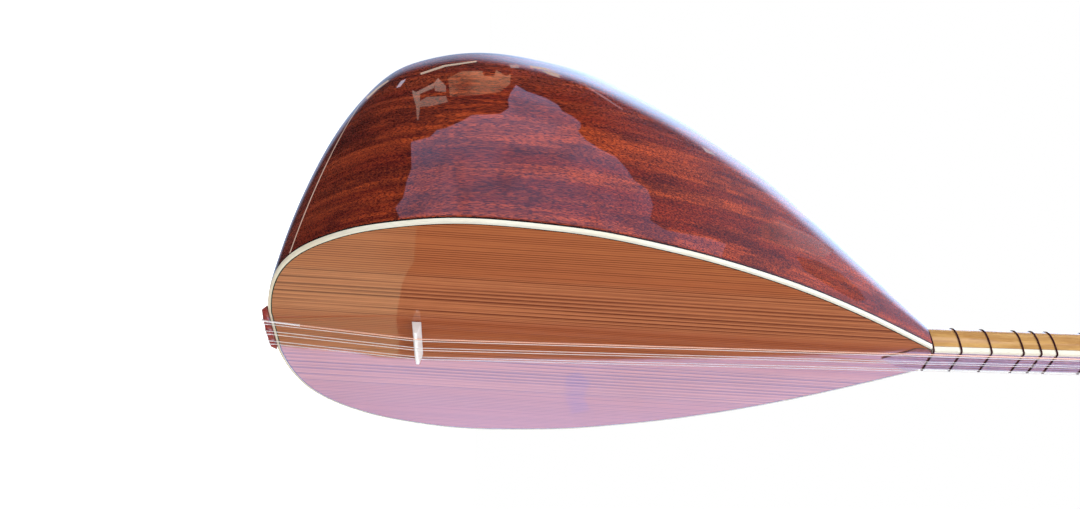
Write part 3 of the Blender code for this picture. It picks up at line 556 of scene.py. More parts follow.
class Workshop:
    """Makes pieces: meshes that are dressed, ride on a body and may stand for nodes of the model."""

    def __init__(self) -> None:
        """Build the finishes."""
        fx = Effects()
        gloss: dict[str, Any] = {"coat": 1.0, "coat_roughness": 0.025, "roughness": 0.5, "specular": 0.03}
        satin: dict[str, Any] = {"coat": 0.5, "coat_roughness": 0.12, "roughness": 0.4}
        steel: dict[str, Any] = {"metallic": 0.1, "roughness": 0.4, "change": 0.1}
        finishes: list[Finish] = [
            LayeredWood("lacquered_mahogany", fx, **gloss),
            LayeredWood("lacquered_dark_mahogany", fx, wood=Wood.TAIL_MAHOGANY, **gloss),
            LayeredWood("tailpiece_mahogany", fx, wood=Wood.BLOCK_MAHOGANY, layers=(90.0, 90.0, 90.0), mottle=0.2,
                        **gloss),
            LayeredWood("bare_mahogany", fx, roughness=0.75, specular=0.3),
            LayeredWood("head_mahogany", fx, layers=(60.0, 60.0, 6.0), **gloss),
            LayeredWood("lacquered_hornbeam", fx, wood=Wood.HORNBEAM, layers=(55.0, 40.0, 4.0), pores=0.12,
                        mottle=0.25, **gloss),
            LayeredWood("polished_fingerboard", fx, wood=Wood.FINGERBOARD, layers=(120.0, 60.0, 5.0), mottle=0.3,
                        **gloss),
            LayeredWood("peg_rosewood", fx, wood=Wood.ROSEWOOD, layers=(160.0, 160.0, 160.0), **satin),
            LayeredWood("bare_spruce", fx, wood=Wood.SPRUCE, layers=(20.0, 200.0, 20.0), roughness=0.7, pores=0.1),
            BoardWood("lacquered_board", fx, **gloss),
            # The cream edge gets painted shade near the tail, where it turns more tan.
            PlainStuff("cream_edge", fx, tone=(0.79, 0.77, 0.67), shade=(0.72, 0.63, 0.47), fleck=0.10, painted_tail_shading=0.7,
                       **gloss),
            PlainStuff("pale_line", fx, tone=(0.72, 0.52, 0.42), shade=(0.55, 0.36, 0.28), fleck=0.3, **gloss),
            PlainStuff("black_line", fx, tone=(0.012, 0.009, 0.010), shade=(0.03, 0.02, 0.02), **gloss),
            # The grey line is the joint between fingerboard and neck, and also the painted highlight round the tongue.
            PlainStuff("grey_line", fx, tone=(0.16, 0.13, 0.13), shade=(0.08, 0.06, 0.06), **gloss),
            PlainStuff("bridge_maple", fx, tone=(0.96, 0.96, 0.96), shade=(0.89, 0.87, 0.86), fleck=0.3, roughness=0.5),
            PlainStuff("bone", fx, tone=(0.84, 0.79, 0.68), shade=(0.66, 0.58, 0.44), roughness=0.3),
            PlainStuff("fret_line", fx, tone=(0.045, 0.008, 0.012), shade=(0.02, 0.004, 0.006), fleck=0.4,
                       roughness=0.5, specular=0.12),
            Wire("plain_steel", fx, tone=(0.98, 0.97, 0.98), dull=(0.84, 0.82, 0.85), **steel),
            Wire("copper_winding", fx, tone=(0.97, 0.62, 0.48), dull=(0.75, 0.40, 0.30), ridge=0.0003, **steel),
        ]
        self.materials = {finish.name: finish.build() for finish in finishes}

    def piece(
        self, name: str, mesh: Mesh, finish: str, body: str = "instrument", stands_for: Sequence[str] = (),
        in_body: bool = False, sharp: float = 35.0,
    ) -> bpy.types.Object:
        """Make one piece from points in millimetres.

        Args:
            name: the piece's name.
            mesh: its points and faces.
            finish: the finish's name.
            body: the body that it rides on.
            stands_for: the model's nodes that it replaces.
            in_body: whether the points are in the leaning body frame.
            sharp: edges over this many degrees stay crisp.

        Returns:
            The object.
        """
        return self.dress(solid(name, mesh, in_body), finish, body, stands_for, sharp)

    def dress(self, obj: bpy.types.Object, finish: str, body: str = "instrument", stands_for: Sequence[str] = (),
              sharp: float = 35.0) -> bpy.types.Object:
        """Give an object its finish and body, and let it stand for nodes."""
        obj.data.materials.clear()
        obj.data.materials.append(self.materials[finish])
        shade(obj, sharp)
        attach(obj, body)
        if stands_for:
            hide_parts(*stands_for)
        LOG.info("made %s with %d faces", obj.name, len(obj.data.polygons))
        return obj

    def coat_node(self, node: str, finish: str) -> None:
        """Give a node that stays as it is its finish."""
        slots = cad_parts[node].data.materials
        slots.clear()
        slots.append(self.materials[finish])

    def softened(self, node: str, width: float, finish: str, body: str = "instrument") -> bpy.types.Object:
        """A copy of a flat-faced node with its edges rounded over.

        Args:
            node: the model's node.
            width: the rounding in millimetres.
            finish: the finish's name.
            body: the body that it rides on.

        Returns:
            The object that stands for the node.
        """
        work = bmesh.new()
        work.from_mesh(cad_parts[node].data)
        bmesh.ops.remove_doubles(work, verts=work.verts, dist=1e-6)
        bmesh.ops.dissolve_limit(work, angle_limit=math.radians(1.0), verts=work.verts, edges=work.edges)
        data = bpy.data.meshes.new(node + "_rounded")
        work.to_mesh(data)
        work.free()
        obj = linked(node + "_rounded", data)
        bevel = obj.modifiers.new("Rounding", "BEVEL")
        bevel.width, bevel.segments, bevel.limit_method = width * MM, 3, "ANGLE"
        bevel.angle_limit = math.radians(28)
        settled(obj)
        return self.dress(obj, finish, body, (node,), 50.0)


def settled(obj: bpy.types.Object) -> bpy.types.Object:
    """Turn an object's modifiers into its plain mesh."""
    graph = bpy.context.evaluated_depsgraph_get()
    made = bpy.data.meshes.new_from_object(obj.evaluated_get(graph))
    obj.modifiers.clear()
    old = obj.data
    obj.data = made
    bpy.data.meshes.remove(old)
    return obj


def shade(obj: bpy.types.Object, sharp: float) -> None:
    """Shade an object smooth, with its edges over an angle in degrees kept crisp."""
    obj.data.shade_smooth()
    obj.data.set_sharp_from_angle(angle=math.radians(sharp))


def cut(obj: bpy.types.Object, mesh: Mesh, sharp: float, in_body: bool = False) -> None:
    """Cut a shape given in millimetres out of an object and shade it anew."""
    cutter = solid("cutter", mesh, in_body)
    mod = obj.modifiers.new("Cut", "BOOLEAN")
    mod.object, mod.operation, mod.solver = cutter, "DIFFERENCE", "EXACT"
    settled(obj)
    bpy.data.objects.remove(cutter)
    shade(obj, sharp)


@dataclass
class Bowl:
    """The carved bowl with its tail block, seam line and soundboard."""

    width: float = 303.6
    depth: float = 260.8
    wall: float = 8.0
    tail_wall: float = 14.0
    heel: float = 45.0
    joint_half: float = 16.2
    joint_depth: float = 27.0
    end: float = 2.9
    tail_flat: float = 0.05
    swell: float = 0.032
    seam_from_tail: float = 25.0
    seam_slope: float = 0.22
    seam_line: float = 1.0
    seam_gap: float = 0.03
    slices: int = 220
    points_round: int = 96
    strip_gap: float = 0.2
    edge_width: float = 2.2
    edge_height: float = 3.0
    edge_round: float = 0.9
    line_width: float = 0.7
    line_past: float = 0.02
    hole_radius: float = 14.0
    hole_sides: int = 48
    hole_depth: float = 72.0
    stations: tuple[Colour, ...] = (
        (0.00, 0.000, 0.000), (0.10, 0.347, 0.014), (0.20, 0.606, 0.392), (0.30, 0.782, 0.722), (0.42, 0.927, 0.946),
        (0.55, 1.000, 1.000), (0.66, 0.966, 0.957), (0.76, 0.850, 0.830), (0.86, 0.636, 0.609), (0.94, 0.368, 0.324),
    )
    grid: np.ndarray = field(init=False)
    halves: np.ndarray = field(init=False)
    depths: np.ndarray = field(init=False)

    def __post_init__(self) -> None:
        """Draw the smooth outlines through the stations."""
        roots = [s[0] for s in self.stations] + [1.0]
        self.grid = np.linspace(0.0, 1.0, 2001)
        self.halves = self.eased(roots, [s[1] * self.width / 2 for s in self.stations] + [self.joint_half])
        self.depths = self.eased(roots, [s[2] * self.depth for s in self.stations] + [self.joint_depth])

    def eased(self, xs: list[float], ys: list[float], spread: float = 36.0) -> np.ndarray:
        """A curve without overshoot through the stations, then faired so that its bend changes smoothly."""
        steps = np.diff(xs)
        slopes = np.diff(ys) / steps
        tangents = [slopes[0]]
        for i in range(1, len(slopes)):
            a, b = slopes[i - 1], slopes[i]
            w1, w2 = 2 * steps[i] + steps[i - 1], steps[i] + 2 * steps[i - 1]
            tangents.append(0.0 if a * b <= 0 else (w1 + w2) / (w1 / a + w2 / b))
        tangents.append(slopes[-1])
        at = np.clip(np.searchsorted(xs, self.grid, side="right") - 1, 0, len(steps) - 1)
        h, t = steps[at], (self.grid - np.array(xs)[at]) / steps[at]
        y, m = np.array(ys), np.array(tangents)
        curve = (
            y[at] * (1 + 2 * t) * (1 - t) ** 2 + m[at] * h * t * (1 - t) ** 2
            + y[at + 1] * t * t * (3 - 2 * t) + m[at + 1] * h * t * t * (t - 1)
        )
        pad = int(spread * 4)
        wide = np.r_[2 * curve[0] - curve[1:pad + 1][::-1], curve, 2 * curve[-1] - curve[-pad - 1:-1][::-1]]
        kernel = np.exp(-0.5 * (np.arange(-pad, pad + 1) / spread) ** 2)
        return np.convolve(wide, kernel / kernel.sum(), mode="valid")

    def half(self, u: float) -> float:
        """Half width at a station."""
        return float(np.interp(u, self.grid, self.halves))

    def deep(self, u: float) -> float:
        """Depth at a station."""
        return max(RIM + 0.5, float(np.interp(u, self.grid, self.depths)))

    def section(self, u: float, shrink: float, steps: int, z: float) -> list[Colour]:
        """Half of a rounded cross-section, from one side of the rim to the other."""
        spots = arch(self.half(u) - shrink, self.deep(u) - shrink - RIM, self.swell, steps)
        return [(x, RIM + y, z) for x, y in spots]

    def shell(self, stations: int, steps: int) -> Mesh:
        """The whole carved shell: outside, hollow and the flat rim between them."""
        joint = math.sqrt(1 - self.end / BODY_LENGTH)
        inner_length = BODY_LENGTH - self.tail_wall
        first = next(u / 1000 for u in range(1000) if self.deep(u / 1000) > RIM + self.wall + 5.0)
        last = math.sqrt(1 - self.heel / inner_length)
        along = np.linspace(self.tail_flat, joint, stations)
        outside = [self.section(u, 0.0, steps, -BODY_LENGTH * (1 - u * u)) for u in along]
        inside = [self.section(u, self.wall, 30, -inner_length * (1 - u * u)) for u in np.linspace(first, last, 50)]
        points: list[Colour] = []
        faces: list[tuple[int, ...]] = []
        loops, index = [], []
        for rings in (outside, inside):
            start, count = len(points), len(rings[0])
            points += [p for ring in rings for p in ring]
            _, skin = loft(rings, round_ring=False)
            faces += [tuple(start + i for i in face) for face in skin]
            loop = [start + i * count for i in range(len(rings))]
            loop += [start + i * count + count - 1 for i in reversed(range(len(rings)))]
            index += loop
            loops.append([Vector((points[i][0], points[i][2], 0.0)) for i in loop])
        faces += [tuple(index[i] for i in triple) for triple in tessellate_polygon(loops)]
        return np.array(points), faces

    def sliced(self, mesh: Mesh, low: float | None, top: float | None) -> Mesh:
        """The part of the shell between two offsets from the sloping seam, closed at its cuts."""
        work = bmesh.new()
        verts = [work.verts.new(p) for p in mesh[0]]
        for face in mesh[1]:
            work.faces.new([verts[i] for i in face])
        for offset, clear in ((low, "clear_inner"), (top, "clear_outer")):
            if offset is None:
                continue
            geometry = [*work.verts, *work.edges, *work.faces]
            bmesh.ops.bisect_plane(
                work, geom=geometry, dist=1e-5, plane_co=(0.0, 0.0, self.seam_from_tail - BODY_LENGTH + offset),
                plane_no=Vector((0.0, -self.seam_slope, 1.0)).normalized(), **{clear: True},
            )
            bmesh.ops.holes_fill(work, edges=[e for e in work.edges if e.is_boundary], sides=0)
        work.verts.index_update()
        points = np.array([v.co[:] for v in work.verts])
        faces = [tuple(v.index for v in f.verts) for f in work.faces]
        work.free()
        return points, faces

    def outline(self, inset: float, count: int = 150) -> np.ndarray:
        """One side of the body's outline in its own plane, joint to tail, set inwards."""
        us = np.linspace(math.sqrt(1 - self.end / BODY_LENGTH), self.tail_flat, 600)
        x = np.interp(us, self.grid, self.halves)
        z = -BODY_LENGTH * (1 - us * us)
        dx, dz = np.gradient(x, us), np.gradient(z, us)
        size = np.hypot(dx, dz)
        side = np.stack([x - inset * dz / size, z + inset * dx / size], axis=1)
        flat = -BODY_LENGTH * (1 - self.tail_flat**2) + inset
        kept = side[(side[:, 1] < -self.end - 0.2) & (side[:, 1] > flat + 0.2)]
        (x0, z0), (x1, z1) = kept[0], kept[1]
        start = (x0 + (-self.end - z0) * (x1 - x0) / (z1 - z0), -self.end)
        (x0, z0), (x1, z1) = kept[-2], kept[-1]
        stop = (x1 + (flat - z1) * (x1 - x0) / (z1 - z0), flat)
        return resampled([start, *kept, stop], count)

    def strip(self, outer: float, inner: float, section: Sequence[tuple[float, float]]) -> Mesh:
        """A strip round the board: its section rows give share of the width from outside, and level."""
        rings = []
        for (xo, zo), (xi, zi) in zip(both_sides(self.outline(outer)), both_sides(self.outline(inner))):
            rings.append([(xo + (xi - xo) * share, level, zo + (zi - zo) * share) for share, level in section])
        return loft(rings)

    def make(self, shop: Workshop) -> None:
        """Make the shell's three parts, the soundboard and the strips round it."""
        whole = self.shell(self.slices, self.points_round)
        half_line, r, w, low = self.seam_line / 2, self.edge_round, self.edge_width, self.edge_height
        board_edge = w + self.line_width + self.strip_gap
        arc = [(r * (1 - math.sin(a)) / w, r * (1 - math.cos(a))) for a in np.linspace(0, math.pi / 2, 6)]
        cream = [(1.0, 0.0), *arc, (0.0, low), (1.0, low)]
        dark = [(1.0, low), (0.0, low), (0.0, RIM), (1.0, RIM)]
        inner = [(1.0, 0.0), (0.0, 0.0), (0.0, BOARD), (1.0, BOARD)]
        plan = both_sides(self.outline(board_edge))
        board = loft([[(x, y, z) for x, z in plan] for y in (0.0, BOARD)])
        for name, mesh, finish, node in (
            ("bowl_shell", self.sliced(whole, half_line + self.seam_gap, None), "lacquered_mahogany", "bowl"),
            ("seam_line", self.sliced(whole, -half_line, half_line), "pale_line", "tail_filet"),
            ("tail_shell", self.sliced(whole, None, -half_line - self.seam_gap), "lacquered_dark_mahogany",
             "tail_block"),
            ("cream_binding", self.strip(0.0, w, cream), "cream_edge", "edge_binding"),
            ("outer_line", self.strip(-self.line_past, w, dark), "black_line", "outer_purfling"),
            ("inner_line", self.strip(w, board_edge, inner), "black_line", "inner_purfling"),
            ("sounding_board", board, "lacquered_board", "soundboard"),
        ):
            piece = shop.piece(name, mesh, finish, stands_for=(node,), in_body=True)
            if node == "tail_block":
                cut(piece, self.sound_hole(), 35.0, in_body=True)
        for node in ("brace_upper", "brace_lower"):
            shop.coat_node(node, "bare_spruce")

    def sound_hole(self) -> Mesh:
        """The round hole through the tail block, as the shape that is cut away."""
        reach = self.seam_from_tail - BODY_LENGTH + self.seam_slope * (self.hole_depth + self.hole_radius)
        angles = np.linspace(0.0, 2 * math.pi, self.hole_sides, endpoint=False)
        return loft([
            [(self.hole_radius * math.cos(a), self.hole_depth + self.hole_radius * math.sin(a), z) for a in angles]
            for z in (-BODY_LENGTH - 20, reach)
        ])


@dataclass
class Neck:
    """Neck, fingerboard with its tongue, edge strips, nut and tied frets."""

    joint_half: float = 15.2
    nut_half: float = 12.5
    joint_depth: float = 28.0
    nut_depth: float = 22.0
    start: float = -2.0
    swell: float = 0.032
    edge_width: float = 3.0
    edge_round: float = 1.5
    tongue_thickness: float = 0.7
    tongue: tuple[tuple[float, float], ...] = (
        (2.3, 12.8), (5.0, 15.2), (9.0, 16.6), (14.0, 16.6), (18.0, 14.6), (21.0, 11.6), (25.0, 8.9), (29.0, 6.6),
        (33.0, 3.7), (37.0, 0.4),
    )
    fret_cents: tuple[int, ...] = (
        96, 150, 198, 294, 345, 392, 492, 590, 640, 690, 790, 845, 895, 992, 1060, 1100, 1200, 1296, 1340, 1391, 1487,
        1582,
    )
    last_fret: float = -1.1
    fret_wire: float = 0.5
    fret_turns: int = 3

    def half(self, z: float) -> float:
        """Half width of the neck."""
        return self.joint_half + (self.nut_half - self.joint_half) * z / NUT_Z

    def back(self, z: float) -> float:
        """Level of the neck's back."""
        return self.joint_depth + (self.nut_depth - self.joint_depth) * z / NUT_Z + FINGER_TOP

    def curve(self, z: float, steps: int, grow: float = 0.0) -> list[tuple[float, float]]:
        """The rounded back of the neck from one side to the other."""
        spots = arch(self.half(z) + grow, self.back(z) - NECK_TOP + grow, self.swell, steps)
        return [(x, NECK_TOP + y) for x, y in spots]

    def corner(self, z: float, grow: float = 0.0) -> list[tuple[float, float]]:
        """The rounded edge of the fingerboard's face on the treble side."""
        a, c = self.half(z), self.edge_round
        return [
            (a - c + (c + grow) * math.cos(t), FINGER_TOP + c - (c + grow) * math.sin(t))
            for t in np.linspace(math.pi / 2, 0, 6)
        ]

    def make(self, shop: Workshop) -> None:
        """Make the wooden pieces, then the frets."""
        heights = np.linspace(self.start, NECK_END, 9)
        rings = [[(x, y, z) for x, y in self.curve(z, 48)] for z in heights]
        shop.piece("neck_wood", loft(rings), "lacquered_hornbeam", stands_for=("neck",))
        rings = [
            [(-a, FINGER_BOTTOM, z), (a, FINGER_BOTTOM, z), (a, NECK_TOP, z), (-a, NECK_TOP, z)]
            for z in heights for a in (self.half(z) - 0.02,)
        ]
        shop.piece("neck_line", loft(rings), "grey_line")
        for side, node in ((-1, "neck_binding_bass"), (1, "neck_binding_treble")):
            rings = []
            for z in (self.start, NUT_Z - FIT):
                inner = self.half(z) - self.edge_width
                ring = [(inner, FINGER_TOP), *self.corner(z), (self.half(z), FINGER_BOTTOM), (inner, FINGER_BOTTOM)]
                rings.append([(side * x, y, z) for x, y in ring])
            shop.piece(node.replace("neck_binding", "neck_edge"), loft(rings), "cream_edge", stands_for=(node,))
        self.make_fingerboard(shop)
        shop.softened("nut", 0.35, "bone")
        self.make_frets(shop)

    def make_fingerboard(self, shop: Workshop) -> None:
        """The fingerboard, whose tongue lies on the soundboard with a softened edge and a painted highlight round its
        foot.
        """
        inner = self.edge_width
        rings = []
        for z, half in ((NUT_Z - FIT, self.half(NUT_Z) - inner), (self.start, self.half(0) - inner)):
            ring = [(-half, FINGER_TOP), (half, FINGER_TOP), (half, FINGER_TOP + 0.02), (half, FINGER_BOTTOM),
                    (-half, FINGER_BOTTOM), (-half, FINGER_TOP + 0.02)]
            rings.append([(x, y, z) for x, y in ring])
        past = np.array([p for p, _ in self.tongue])
        halves = np.array([h for _, h in self.tongue])
        fine = np.linspace(past[0], past[-1], 70)
        padded = np.pad(np.interp(fine, past, halves), 3, mode="reflect", reflect_type="odd")
        smooth = np.convolve(padded, np.ones(7) / 7, "valid")
        top, edge = -FIT - self.tongue_thickness, 0.35
        for p, h in zip(fine, smooth):
            h = max(h, 0.4)
            lip = min(edge, 0.5 * h)
            ring = [(-h + lip, top), (h - lip, top), (h, top + edge), (h, 0.0), (-h, 0.0), (-h, top + edge)]
            rings.append([tuple(lean((x, y, -p))) for x, y in ring])
        # A grey bead round the tongue's foot is a painted highlight that stands in for the light outline of the
        # tongue's edge.
        side = [(h + 0.1, -0.15, -p) for p, h in zip(fine, smooth)]
        round_tongue = side + [(-x, y, z) for x, y, z in reversed(side)]
        shop.piece("tongue_line", tube(np.array([lean(p) for p in round_tongue]), 0.3, 6), "grey_line")
        shop.piece("finger_wood", loft(rings), "polished_fingerboard", stands_for=("fingerboard",), sharp=2.0)

    def tie(self) -> bpy.types.NodeTree:
        """The geometry tree that winds a fret's line round the neck and knots it."""
        first = {"Geometry": None, "Turns": 3, "Line": 0.00025, "Pitch": 0.00046, "Knot place": None, "Material": None}
        kit, into, out = new_tree("Tied fret", first, "Geometry")
        line = kit.add("GeometryNodeMeshToCurve", {0: into["Geometry"]}).outputs[0]
        copies = {0: line, "Amount": into["Turns"]}
        many, which = kit.add("GeometryNodeDuplicateElements", copies, domain="SPLINE").outputs
        middle = kit.math("MULTIPLY", kit.math("SUBTRACT", into["Turns"], 1.0), 0.5)
        rise = kit.math("MULTIPLY", kit.math("SUBTRACT", which, middle), into["Pitch"])
        offset = kit.add("ShaderNodeCombineXYZ", {2: rise}).outputs[0]
        moved = kit.add("GeometryNodeSetPosition", {"Geometry": many, "Offset": offset}).outputs[0]
        profile = kit.add("GeometryNodeCurvePrimitiveCircle", {"Resolution": 7, "Radius": into["Line"]}).outputs[0]
        curl = kit.add("GeometryNodeCurveSpiral", {"Resolution": 9, "Rotations": 2.6, "Height": 0.0022,
                                                   "Start Radius": kit.math("MULTIPLY", into["Line"], 1.6),
                                                   "End Radius": kit.math("MULTIPLY", into["Line"], 1.9)}).outputs[0]
        laid = kit.add("GeometryNodeTransform", {"Geometry": curl, "Translation": into["Knot place"]}).outputs[0]
        both = kit.add("GeometryNodeJoinGeometry")
        kit.feed(both.inputs[0], kit.wire(moved, profile, False))
        kit.feed(both.inputs[0], kit.wire(laid, profile, True))
        kit.feed(out, kit.dressed(both.outputs[0], into["Material"]))
        return kit.tree

    def make_frets(self, shop: Workshop) -> None:
        """Wind each fret round the neck at its height."""
        tree = self.tie()
        heights = [NUT_Z - STRING_LENGTH * (1 - 2 ** (-c / 1200)) for c in self.fret_cents] + [self.last_fret]
        grow = self.fret_wire / 2 + 0.12
        for number, z in enumerate(heights, 1):
            side = self.corner(z, grow)
            loop = side + self.curve(z, 40, grow) + [(-x, y) for x, y in reversed(side)]
            data = bpy.data.meshes.new("fret_path")
            edges = [(i, (i + 1) % len(loop)) for i in range(len(loop))]
            data.from_pydata(settle([(x, y, z) for x, y in loop]).tolist(), edges, [])
            knot = settle([(self.half(z) * 0.93, self.back(z) * 0.42 + NECK_TOP, z - 1.0)])[0]
            run_tree(shop, f"tied_fret_{number:02d}", data, tree,
                     {"Turns": self.fret_turns, "Line": self.fret_wire / 2 * MM, "Pitch": self.fret_wire * 0.92 * MM,
                      "Knot place": tuple(knot)}, "fret_line", f"fret_{number:02d}", (f"fret_{number:02d}",))


def run_tree(
    shop: Workshop, name: str, data: bpy.types.Mesh, tree: bpy.types.NodeTree, values: dict[str, Any], finish: str,
    body: str, stands_for: Sequence[str],
) -> bpy.types.Object:
    """Run a geometry tree on a mesh and keep its result as a plain piece.

    Args:
        shop: the workshop that dresses the piece.
        name: the piece's name.
        data: the mesh that the tree starts from.
        tree: the geometry tree.
        values: its inputs by name.
        finish: the finish's name.
        body: the body that the piece rides on.
        stands_for: the model's nodes that it replaces.

    Returns:
        The piece.
    """
    obj = linked(name, data)
    mod = obj.modifiers.new("Tree", "NODES")
    mod.node_group = tree
    for item in tree.interface.items_tree:
        if item.in_out == "INPUT" and item.name in values:
            mod[item.identifier] = values[item.name]
        elif item.in_out == "INPUT" and item.name == "Material":
            mod[item.identifier] = shop.materials[finish]
    settled(obj)
    return shop.dress(obj, finish, body, stands_for, 60.0)


@dataclass
class Head:
    """Peg head with its six pegs and the string wound on each."""

    length: float = 183.0
    half_width: float = 13.5
    tip_half: float = 10.0
    edge: float = 2.0
    first: float = 35.0
    pitch: float = 17.5
    radius: float = 3.6
    tip_radius: float = 3.0
    side_tip: float = 3.0
    front_sunk: float = 0.6
    side_level: float = HEAD_FRONT + 6.5
    collar: float = 5.0
    collar_length: float = 2.0
    stem: float = 6.0
    winding: float = 6.0
    start: float = NECK_END + FIT
    neck_half: float = 12.5
    flare: float = 12.0
    hole_room: float = 0.15
    coil_room: float = 0.05
    coil_step: float = 1.04
    thick_wire: float = 0.5
    thin_wire: float = 0.27
    tip_rounding: tuple[tuple[float, float], ...] = (
        (14.0, 0.0), (9.0, 0.2), (5.5, 0.8), (3.0, 1.7), (1.2, 2.9), (0.0, 4.0),
    )
    handle: tuple[Colour, ...] = (
        (0.2, 5.4, 3.6), (1.0, 8.0, 3.85), (2.2, 10.6, 4.0), (3.6, 12.2, 4.0), (5.2, 13.0, 3.95), (7.0, 12.7, 3.7),
        (8.6, 11.2, 3.2), (9.8, 8.8, 2.5), (10.6, 5.6, 1.6), (10.95, 2.6, 0.8),
    )

    def half(self, z: float) -> float:
        """Half width of the head at a height."""
        wide_at = self.start + self.flare
        if z < wide_at:
            return self.neck_half + (self.half_width - self.neck_half) * (z - self.start) / self.flare
        return self.half_width + (self.tip_half - self.half_width) * (z - wide_at) / (self.length - self.flare)

    def places(self) -> list[tuple[PegRow, float]]:
        """Row and height of each peg, in the order of the strings."""
        at = NUT_Z + self.first
        sides = [(PegRow.SIDE, at + 2 * k * self.pitch) for k in range(3)]
        return sides + [(PegRow.FRONT, at + (2 * k + 1) * self.pitch) for k in range(3)]

    def make(self, shop: Workshop) -> None:
        """Make the head with its holes, then the pegs and windings."""
        tip = self.start + self.length
        rings = []
        rounding = [(tip - before, shrink) for before, shrink in self.tip_rounding]
        for z, shrink in [(self.start, 0.0), (self.start + self.flare, 0.0), *rounding]:
            a, r = self.half(z) - shrink, self.edge
            f, b = HEAD_FRONT + shrink, HEAD_BACK
            ring = []
            for cx, cy, t0 in ((a - r, b - r, 0), (-a + r, b - r, 1), (-a + r, f + r, 2), (a - r, f + r, 3)):
                for t in np.linspace(0, math.pi / 2, 7) + t0 * math.pi / 2:
                    ring.append((cx + r * math.cos(t), cy + r * math.sin(t), z))
            rings.append(ring)
        head = shop.piece("head_wood", loft(rings), "head_mahogany", stands_for=("peg_head",), sharp=30.0)
        holes = []
        for row, z in self.places():
            face, far = self.span(row, z)
            narrow, wide = self.tip_radius + self.hole_room, self.radius + self.hole_room
            holes.append(self.turned([(narrow, far + 3), (narrow, far), (wide, face), (wide, face - 3)], 32, row, z))
        cut(head, joined(holes), 30.0)
        coil = self.coil()
        for number, (row, z) in enumerate(self.places(), 1):
            self.make_peg(shop, number, row, z, coil)

    def span(self, row: PegRow, z: float) -> tuple[float, float]:
        """Where a peg enters the head, and where its tip ends."""
        if row is PegRow.SIDE:
            return -self.half(z), self.half(z) + self.side_tip
        return HEAD_FRONT, HEAD_BACK - self.front_sunk

    def turned(self, profile: Sequence[tuple[Any, float]], sides: int, row: PegRow, z: float) -> Mesh:
        """A shape turned about a peg's axis: rows of radius, or a pair of radii, and place along it."""
        rings = []
        for radius, along in profile:
            ra, rb = radius if isinstance(radius, tuple) else (radius, radius)
            ring = []
            for i in range(sides):
                t = 2 * math.pi * i / sides
                p, q = ra * math.cos(t), rb * math.sin(t)
                if row is PegRow.FRONT:
                    ring.append((q, along, z + p))
                else:
                    ring.append((along, self.side_level + q, z + p))
            rings.append(ring)
        return loft(rings)

    def make_peg(self, shop: Workshop, number: int, row: PegRow, z: float, coil: bpy.types.NodeTree) -> None:
        """Turn one peg with its collar and flat handle, and wind its string."""
        face, far = self.span(row, z)
        sleeve = face - FIT - self.winding
        collar = sleeve - FIT - self.collar_length
        grip = collar - self.stem
        r, c, t = self.radius, self.collar, self.tip_radius
        profile: list[tuple[Any, float]] = [
            (t * 0.75, far), (t * 0.94, far - 0.3), (t, far - 0.9), (r, face), (r, sleeve - FIT),
            (c * 0.9, sleeve - FIT - 0.01), (c, sleeve - FIT - 0.3), (c, collar + 0.4), (c * 0.92, collar),
            (t * 1.05, collar - 0.5), (t, collar - 1.6), (t * 0.98, grip + 2.4), (t * 1.2, grip + 0.9),
            *(((long_way, thick), grip - along) for along, long_way, thick in self.handle),
        ]
        body = f"tuning_peg_{number}"
        shop.piece(f"turned_peg_{number}", self.turned(profile, 40, row, z), "peg_rosewood", body, (f"peg_{number}",),
                   sharp=50.0)
        wire = self.thick_wire if number == 1 else self.thin_wire
        first, length = face - FIT - wire - self.coil_room, self.winding - 2 * (wire + self.coil_room)
        turns = int(length / (2 * wire * self.coil_step))
        centre = (first, self.side_level, z) if row is PegRow.SIDE else (0.0, first, z)
        turn = (0.0, -math.pi / 2, 0.0) if row is PegRow.SIDE else (math.pi / 2, 0.0, 0.0)
        empty = bpy.data.meshes.new("winding_path")
        run_tree(shop, f"wound_string_{number}", empty, coil,
                 {"Turns": float(turns), "Radius": (r + wire + 0.08) * MM, "Wire": wire * MM,
                  "Length": length * MM, "Place": tuple(settle([centre])[0]), "Direction": turn},
                 "copper_winding" if number == 1 else "plain_steel", body, (f"winding_{number}",))

    def coil(self) -> bpy.types.NodeTree:
        """The geometry tree that winds a wire round a peg."""
        first = {"Geometry": None, "Turns": 10.0, "Radius": 0.004, "Wire": 0.00025, "Length": 0.006, "Place": None,
                 "Direction": None, "Material": None}
        kit, into, out = new_tree("Wound string", first, "Geometry")
        turns = {"Resolution": 20, "Rotations": into["Turns"], "Height": into["Length"],
                 "Start Radius": into["Radius"], "End Radius": into["Radius"]}
        line = kit.add("GeometryNodeCurveSpiral", turns)
        place = {"Geometry": line.outputs[0], "Translation": into["Place"], "Rotation": into["Direction"]}
        laid = kit.add("GeometryNodeTransform", place).outputs[0]
        profile = kit.add("GeometryNodeCurvePrimitiveCircle", {"Resolution": 8, "Radius": into["Wire"]}).outputs[0]
        kit.feed(out, kit.dressed(kit.wire(laid, profile, True), into["Material"]))
        return kit.tree


